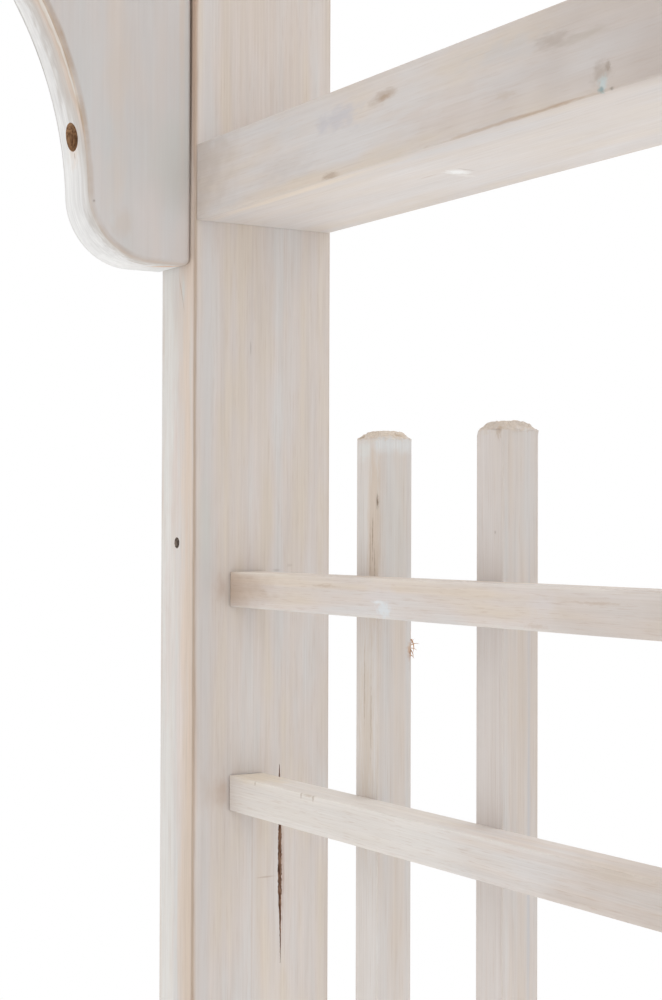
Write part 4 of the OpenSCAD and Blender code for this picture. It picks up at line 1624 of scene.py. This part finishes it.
@dataclass
class Trellis:
    """The crossbars and the uprights screwed to them: thin square bars in pairs.

    Attributes:
        edge_mm: Radius of the bars' arrises.
        tip_mm: Chamfer on the ends of the uprights.
        chipping_mm: Unevenness of those ends.
        chip_faces_mm: Size of the faces that show it.
    """

    edge_mm: float = 0.6
    tip_mm: float = 4.0
    chipping_mm: float = 2.4
    chip_faces_mm: float = 1.3
    crossbar_finish: Whitewash = Whitewash(
        "whitewashed_crossbar", Axis.Y, ring_mm=1.9, band_mm=6, fibre_mm=0.8, flecks=0.22,
        fleck_mm=(0.7, 14.0), cloudy=0.6, cool="#d6d2d0", middle="#d7cec8", warm="#d8ccbf",
        arris="#e6e0d9", arris_share=0.7, tints=(
            Blemish((640, -240, 1440), (80, 330, 160), "#c1b6ad", 0.9, 0.25, (40, 60, 40), core=0.5),
            Blemish((630, 200, 1391), (40, 200, 22), "#dfdbd6", 0.8, 0.25, (20, 60, 20), core=0.45),
            Blemish((622, 296, 1501), (4, 60, 18), "#bda998", 0.8, 0.4, (6, 12, 4)),
            Blemish((632, 285, 1401), (30, 40, 3), "#ddd0bb", 0.7, 0.4, (6, 12, 4)),
            Blemish((622, 150, 1502), (3, 20, 9), "#d6cfcd", 0.7, 0.5, (2, 6, 3)),
            Blemish((622, 24, 1502), (3, 16, 9), "#d9d3d2", 0.6, 0.4, (3, 4, 3)),
        ), blemishes=(
            Blemish((622, 146, 1496.5), (3, 9, 6), "#dbe3e8", 0.65, 0.7, (2, 3, 2.4)),
            Blemish((622, 151, 1499.8), (3, 8, 1.0), "#e6ebee", 0.7, 0.5, (2, 2.6, 1.2)),
            Blemish((622, 30, 1494), (3, 12, 1.6), "#b49b82", 0.28, 0.8, (2, 2.6, 1.2)),
            Blemish((622, 200, 1506), (3, 16, 1.2), "#b59d86", 0.4, 0.8, (2, 4, 1)),
            Blemish((622, -10, 1505), (3, 22, 1.2), "#b59d86", 0.4, 0.8, (2, 4, 1)),
            Blemish((622, 222.5, 1400), (2.5, 1.1, 2.4), "#93785f", 0.5, 0.4, (1, 1, 1)),
            Blemish((622, 210.6, 1400), (2.5, 1.3, 2.8), "#93785f", 0.5, 0.5, (1, 1, 1)),
            Blemish((622, 216, 1400.5), (2.0, 8, 1.0), "#a58c74", 0.4, 0.7, (1, 2, 1)),
            Blemish((622, 270.7, 1400), (2.5, 1.0, 1.6), "#93785f", 0.5, 0.4, (1, 1, 1)),
            # A dark seam where the bars' ends meet the post: dirt in the joint, and painted shade in the gap.
            Blemish((632, 300.2, 1400), (60, 1.5, 6000), "#6f5846", 0.9, 0.2, (2, 2, 4), core=0.5),
        ))
    upright_finish: Whitewash = Whitewash(
        "whitewashed_upright", Axis.Z, cool="#d1cecc", middle="#d2cbc6", warm="#d2c8bf", ring_mm=1.9,
        band_mm=6, fibre_mm=0.9, fibre_tone=0.13, fibres_show=0.10, flecks=0.14, fleck_mm=(0.8, 26.0),
        arris="#cbb9a6", arris_share=0.3, ends_bare=0.15, tints=(
            Blemish((641.5, 190, 1400), (3.0, 60, 6000), "#dbd6d2", 0.8, 0.2, (2, 20, 60), core=0.4),
            Blemish((641.5, 90, 1400), (3.0, 40, 6000), "#d5ceca", 0.8, 0.2, (2, 20, 60), core=0.4),
            Blemish((643, 188, 1530), (3, 6.5, 60), "#d0c1b1", 0.75, 0.4, (2, 1.5, 12), core=0.5),
            Blemish((643, 200, 1540), (3, 6, 40), "#d4d2cf", 0.6, 0.7, (2, 2, 10)),
            Blemish((643, 194, 1430), (3, 10, 80), "#cec0b0", 0.6, 0.8, (1, 1.5, 12)),
            Blemish((653, 184, 1576.5), (60, 7, 6.5), "#dee1e2", 0.75, 0.3, (6, 6, 4)),
            Blemish((643, 197, 1573), (4, 9, 8), "#dbdddb", 0.7, 0.6, (4, 4, 3)),
            Blemish((653, 92, 1583.5), (60, 60, 6.2), "#d0c5b9", 0.85, 0.7, (2.0, 2.0, 1.5), core=0.4),
            Blemish((653, 194, 1583.5), (60, 60, 5.8), "#dacebf", 0.85, 0.7, (2.0, 2.0, 1.5), core=0.4),
            Blemish((653, 184, 1535), (12, 3, 60), "#cdcecd", 0.6, 0.4, (3, 3, 20)),
        ), blemishes=(
            Blemish((643, 184.8, 1548), (2.5, 1.1, 5.0), "#75604b", 0.9, 0.4, (1, 1, 1.5)),
            Blemish((643, 189.0, 1530), (3, 0.8, 16), "#937a60", 0.7, 0.9, (1, 0.8, 3)),
            Blemish((643, 187.0, 1518), (3, 0.7, 12), "#937a60", 0.6, 0.9, (1, 0.8, 3)),
            Blemish((643, 191.2, 1522), (3, 0.7, 20), "#a0876c", 0.5, 0.9, (1, 0.8, 4)),
            Blemish((643, 196, 1455), (3, 0.8, 26), "#a0876c", 0.5, 0.9, (1, 0.8, 4)),
            Blemish((643, 190, 1440), (3, 0.8, 30), "#a0876c", 0.5, 0.9, (1, 0.8, 4)),
            Blemish((662, 184, 1474), (2.2, 3, 6), "#c49d7b", 0.7, 0.8, (1, 1, 1.5)),
            Blemish((657.8, 81, 1400), (1.4, 3, 190), "#bcbfc6", 0.5, 0.5, (1, 2, 40)),
            Blemish((643, 86.5, 1533), (3, 0.9, 1.2), "#8f8176", 0.5, 0.3, (1, 1, 1)),
            Blemish((643, 84, 1579), (3, 3, 6), "#ad967e", 0.6, 0.8, (1, 1, 2)),
            Blemish((645, 100, 1582), (3, 3, 2), "#8d7258", 0.6, 0.8, (1, 1, 1)),
            Blemish((645, 201, 1580), (3, 3, 2.0), "#a08a74", 0.6, 0.8, (1, 1, 1)),
            Blemish((656, 186, 1581), (5, 3, 1.2), "#b59c80", 0.6, 0.8, (1.5, 1, 0.8)),
        ))
    screws: Screws = field(default_factory=Screws)
    splinters: Splinters = field(default_factory=Splinters)

    def slat(self, bar: Bar, finish: Material, cutters: Sequence[Object], inside: Material) -> Object:
        """Makes the slat that a row repeats, with what the tree reads.

        Args:
            bar: The bar in the row's first place.
            finish: Its material.
            cutters: The pockets of its screws.
            inside: The bare wood in them.

        Returns:
            The object.
        """
        piece = bar.build(finish)
        if cutters:
            carve(piece, cutters, inside)
        third = bar.grain.value[2]
        reach = bar.tip_mm + bar.tip_margin_mm
        if bar.tip_margin_mm:
            split_ends(piece, third, reach, self.chip_faces_mm)
        bar.finish(piece)
        if bar.tip_margin_mm:
            inside_mm = reach - from_ends(piece, third) / MM
            store(piece, "cut", "FLOAT", "POINT", np.clip(inside_mm / bar.tip_margin_mm, 0, 1))
        store_bare(piece)
        return piece

    def build(self, inside: Material) -> list[Object]:
        """Makes the crossbars and the uprights of each side.

        Args:
            inside: The bare wood in the pockets of the screws.

        Returns:
            The pieces.
        """
        tree = slat_tree()
        crossbar_finish, upright_finish = self.crossbar_finish.material(), self.upright_finish.material()
        made = []
        for seed, side in enumerate(SIDES, 3):
            names = [f"crossbar_{side}_{i}" for i in range(6, 0, -1)]
            heights = [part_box(name)[0].z for name in names]
            bar = Bar(f"bars_across_{side}", names[0], Axis.Y, self.edge_mm, 0.7, (38, -30, 0), wear_mm=1.4)
            piece = self.slat(bar, crossbar_finish, (), inside)
            run_tree(piece, tree, {
                "Groups": 3, "Group step": (0, 0, heights[2] - heights[0]),
                "Members": 2, "Member step": (0, 0, heights[1] - heights[0]),
                "Log spread": (45.0, 45.0, 900.0), "Chipping": 0.0, "Seed": seed,
                "Finish": crossbar_finish, "Bare wood": inside})
            made.append(hand_over(piece, names))

            names = [f"upright_{side}_{i}" for i in range(1, 5)]
            lefts = [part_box(name)[0].y for name in names]
            bar = Bar(f"bars_upright_{side}", names[0], Axis.Z, self.edge_mm, self.tip_mm, (30, 36, 0),
                      tip_margin_mm=2.0, wear_mm=1.4)
            pockets = self.screws.pockets("upright_screws", names[0])
            piece = self.slat(bar, upright_finish, pockets, inside)
            run_tree(piece, tree, {
                "Groups": 2, "Group step": (0, lefts[2] - lefts[0], 0),
                "Members": 2, "Member step": (0, lefts[1] - lefts[0], 0),
                "Log spread": (40.0, 40.0, 1500.0), "Chipping": self.chipping_mm * MM, "Seed": seed + 20,
                "Finish": upright_finish, "Bare wood": inside})
            if side == "right":
                self.splinters.tear(piece)
            made.append(hand_over(piece, names))
        return made


@dataclass
class Roof:
    """The two lintels on the posts and the rafters notched over them, all with scrolled tips.

    Attributes:
        rim_mm: Radius of the eased arrises.
        lintel_tip_mm: Height of a lintel tip's square end above its curve, and radius of its round nose.
        rafter_tip_mm: The same for a rafter's tip.
        notch_mm: Depth of the notch that seats a rafter on a lintel.
        bore_mm: Diameter of a lintel's counterbores.
        corner_mm: Radius of the square end's two corners.
    """

    rim_mm: float = 1.0
    lintel_tip_mm: Pair = (32.0, 26.0)
    rafter_tip_mm: Pair = (30.0, 19.0)
    notch_mm: float = 20.0
    bore_mm: float = 15.0
    corner_mm: float = 2.0
    lintel_finish: Whitewash = Whitewash("whitewashed_lintel", Axis.X, band_mm=16)
    rafter_finish: Whitewash = Whitewash("whitewashed_rafter", Axis.Y, band_mm=12, ring_mm=2.1)
    screws: Screws = field(default_factory=Screws)

    def profile(self, half: float, bottom: float, top: float, tip_mm: Pair,
                notches: Sequence[Pair] = ()) -> np.ndarray:
        """The side view of a lintel or a rafter.

        Args:
            half: Half its length, in metres.
            bottom: Where its bottom edge is.
            top: Where its top edge is.
            tip_mm: Height of a tip's square end, and radius of its round nose.
            notches: The start and end of each notch in the bottom edge, from left to right.

        Returns:
            The points, counterclockwise.
        """
        nib, nose, soft = tip_mm[0] * MM, tip_mm[1] * MM, self.corner_mm * MM
        cove = top - bottom - nib - nose
        right = arc((half - nose - cove, bottom + nose), nose, -90, 0, 12)
        right += arc((half, bottom + nose), cove, 180, 90, 14)[1:-1]
        right += arc((half - soft, top - nib + soft), soft, -90, 0, 4)
        right += arc((half - soft, top - soft), soft, 0, 90, 4)
        left = [(-x, z) for x, z in reversed(right)]
        rise = bottom + self.notch_mm * MM
        lower = [point for start, end in notches
                 for point in ((start, bottom), (start, rise), (end, rise), (end, bottom))]
        return np.array(left + lower + right)

    def build(self, inside: Material) -> list[Object]:
        """Makes the lintels and the rafters.

        Args:
            inside: The bare wood of counterbores and pockets.

        Returns:
            The pieces.
        """
        finish = self.lintel_finish.material()
        made = []
        for end, sy in ENDS.items():
            node = f"lintel_{end}"
            low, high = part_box(node)
            outline = self.profile(high.x, low.z, high.z, self.lintel_tip_mm)
            board = Shaped("timber_" + node, outline, Axis.Y, (low.y, high.y), self.rim_mm,
                           (sy * 250, 1950 + 20 * sy, 0))
            piece = board.build(finish)
            carve(piece, self.screws.bores("lintel_screws", node, self.bore_mm, 0.03), inside)
            board.finish(piece)
            made.append(hand_over(piece, [node]))

        finish = self.rafter_finish.material()
        names = [f"rafter_{i}" for i in range(1, 8)]
        low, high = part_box(names[0])
        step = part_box(names[1])[0].x - low.x
        lintel_low, lintel_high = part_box("lintel_back")
        outline = self.profile(high.y, low.z, high.z, self.rafter_tip_mm,
                               [(-lintel_high.y, -lintel_low.y), (lintel_low.y, lintel_high.y)])
        board = Shaped("timber_rafters", outline, Axis.X, (low.x, high.x), self.rim_mm,
                       (low.x / MM + 10, 2150, 0))
        piece = board.build(finish)
        carve(piece, self.screws.pockets("rafter_screws", names[0]), inside)
        board.finish(piece)
        store_bare(piece)
        run_tree(piece, slat_tree(), {
            "Groups": 7, "Group step": (step, 0, 0), "Members": 1, "Log spread": (60.0, 50.0, 700.0),
            "Seed": 9, "Finish": finish, "Bare wood": inside})
        made.append(hand_over(piece, names))
        return made


@dataclass
class Studio:
    """The plain white room round the arch: a floor, an even sky and two broad soft lamps.

    Attributes:
        floor_m: Half the width of the floor.
        sky: Strength of the light from all round.
        above: Strength of the lamp overhead.
        aside: Strength of the lamp that faces the walkway's right side.
        lamp_spread: How wide a lamp looks, in degrees.
    """

    floor_m: float = 30.0
    sky: float = 0.70
    above: float = 1.74
    aside: float = 0.36
    lamp_spread: float = 100.0

    def floor(self) -> None:
        """Makes the floor, which keeps the arch's shadow near it and turns plain white further out."""
        # Near the arch it takes the shadow, with a little light added. Further out it looks plain white.
        made, tree = new_material("white_floor")
        place = add(tree, "TexCoord").outputs["Object"]
        away = add(tree, "VectorMath", (place,), operation="LENGTH").outputs["Value"]
        far = add(tree, "MapRange", (away, 2.0, 4.5), interpolation_type="SMOOTHSTEP")
        rays = add(tree, "LightPath").outputs
        seen = add(tree, "Math", (rays["Is Camera Ray"], rays["Is Glossy Ray"]), operation="MAXIMUM")
        lit = add(tree, "BsdfDiffuse", (linear("#f4f4f4"),))
        lift = add(tree, "Emission", {"Strength": add(tree, "Math", (seen, 0.08), operation="MULTIPLY")})
        near = add(tree, "AddShader", (lit, lift))
        white = add(tree, "Emission", {"Strength": 1.0})
        share = add(tree, "Math", (far, seen), operation="MULTIPLY")
        add(tree, "OutputMaterial", (add(tree, "MixShader", (share, near, white)),))
        mesh = bpy.data.meshes.new("floor")
        half = self.floor_m
        mesh.from_pydata([(-half, -half, 0), (half, -half, 0), (half, half, 0), (-half, half, 0)], [],
                         [(0, 1, 2, 3)])
        mesh.materials.append(made)
        object_from("floor", mesh)

    def light(self) -> None:
        """Makes the sky, white to the camera and even on the arch, and the two lamps."""
        world = bpy.data.worlds.new("white_room")
        bpy.context.scene.world = world
        world.use_nodes = True
        tree = world.node_tree
        tree.nodes.clear()
        rays = add(tree, "LightPath").outputs
        shown = add(tree, "Math", (rays["Is Camera Ray"], rays["Is Glossy Ray"]), operation="MAXIMUM")
        seen = add(tree, "Math", (shown, rays["Is Transmission Ray"]), operation="MAXIMUM")
        strength = add(tree, "MapRange", (seen, 0.0, 1.0, self.sky, 1.0))
        add(tree, "OutputWorld", (add(tree, "Background", ((1, 1, 1, 1), strength)),))
        for name, energy, aim in (("lamp_above", self.above, (0.1, 0.15, -1)),
                                  ("lamp_aside", self.aside, (1, 1.9, -0.2))):
            lamp = bpy.data.lights.new(name, "SUN")
            lamp.energy = energy
            lamp.angle = math.radians(self.lamp_spread)
            made = bpy.data.objects.new(name, lamp)
            made.rotation_mode = "QUATERNION"
            made.rotation_quaternion = Vector(aim).to_track_quat("-Z", "Y")
            bpy.context.scene.collection.objects.link(made)


@dataclass
class PhotoCamera:
    """The camera at the photograph's place, solved from the straight edges in it.

    Attributes:
        at_mm: Its place in the frame.
        yaw: Turn from +Y towards +X, in degrees.
        pitch: Tilt upwards, in degrees.
        roll: Turn about the view, in degrees.
        focal_px: Focal length in pixels of the photograph.
        height_px: Height of the photograph.
        sensor_mm: Width and height of the sensor.
    """

    at_mm: Spot = (154.58, -579.48, 1534.26)
    yaw: float = 31.1393
    pitch: float = 0.9051
    roll: float = 0.1812
    focal_px: float = 1835.24
    height_px: int = 1000
    sensor_mm: float = 36.0

    def build(self) -> None:
        """Makes the camera and gives it to the scene."""
        yaw, pitch, roll = (math.radians(angle) for angle in (self.yaw, self.pitch, self.roll))
        view = Vector((math.sin(yaw) * math.cos(pitch), math.cos(yaw) * math.cos(pitch), math.sin(pitch)))
        level = Vector((math.cos(yaw), -math.sin(yaw), 0))
        up = level.cross(view)
        right = level * math.cos(roll) + up * math.sin(roll)
        top = up * math.cos(roll) - level * math.sin(roll)
        data = bpy.data.cameras.new("photo_camera")
        data.sensor_width = self.sensor_mm
        data.sensor_height = self.sensor_mm
        data.lens = self.sensor_mm * self.focal_px / self.height_px
        data.clip_start = 0.01
        made = bpy.data.objects.new("photo_camera", data)
        turn = Matrix((right, top, -view)).transposed().to_4x4()
        made.matrix_world = Matrix.Translation(Vector(self.at_mm) * MM) @ turn
        bpy.context.scene.collection.objects.link(made)
        bpy.context.scene.camera = made


def main() -> None:
    """Builds the camera, the room and every piece."""
    logging.basicConfig(level=logging.INFO, format="%(message)s")
    PhotoCamera().build()
    studio = Studio()
    studio.floor()
    studio.light()
    bpy.context.scene.view_settings.view_transform = "Standard"
    bare = RawSpruce("bare_spruce", "#c9a078", "#8d6a4c").material()
    pieces = Screws().build()
    pieces += Posts().build(bare)
    pieces += Brackets().build(bare)
    pieces += SideRails().build()
    pieces += Trellis().build(bare)
    pieces += Roof().build(bare)
    LOG.info("%d pieces", len(pieces))


if __name__ == "__main__":
    main()
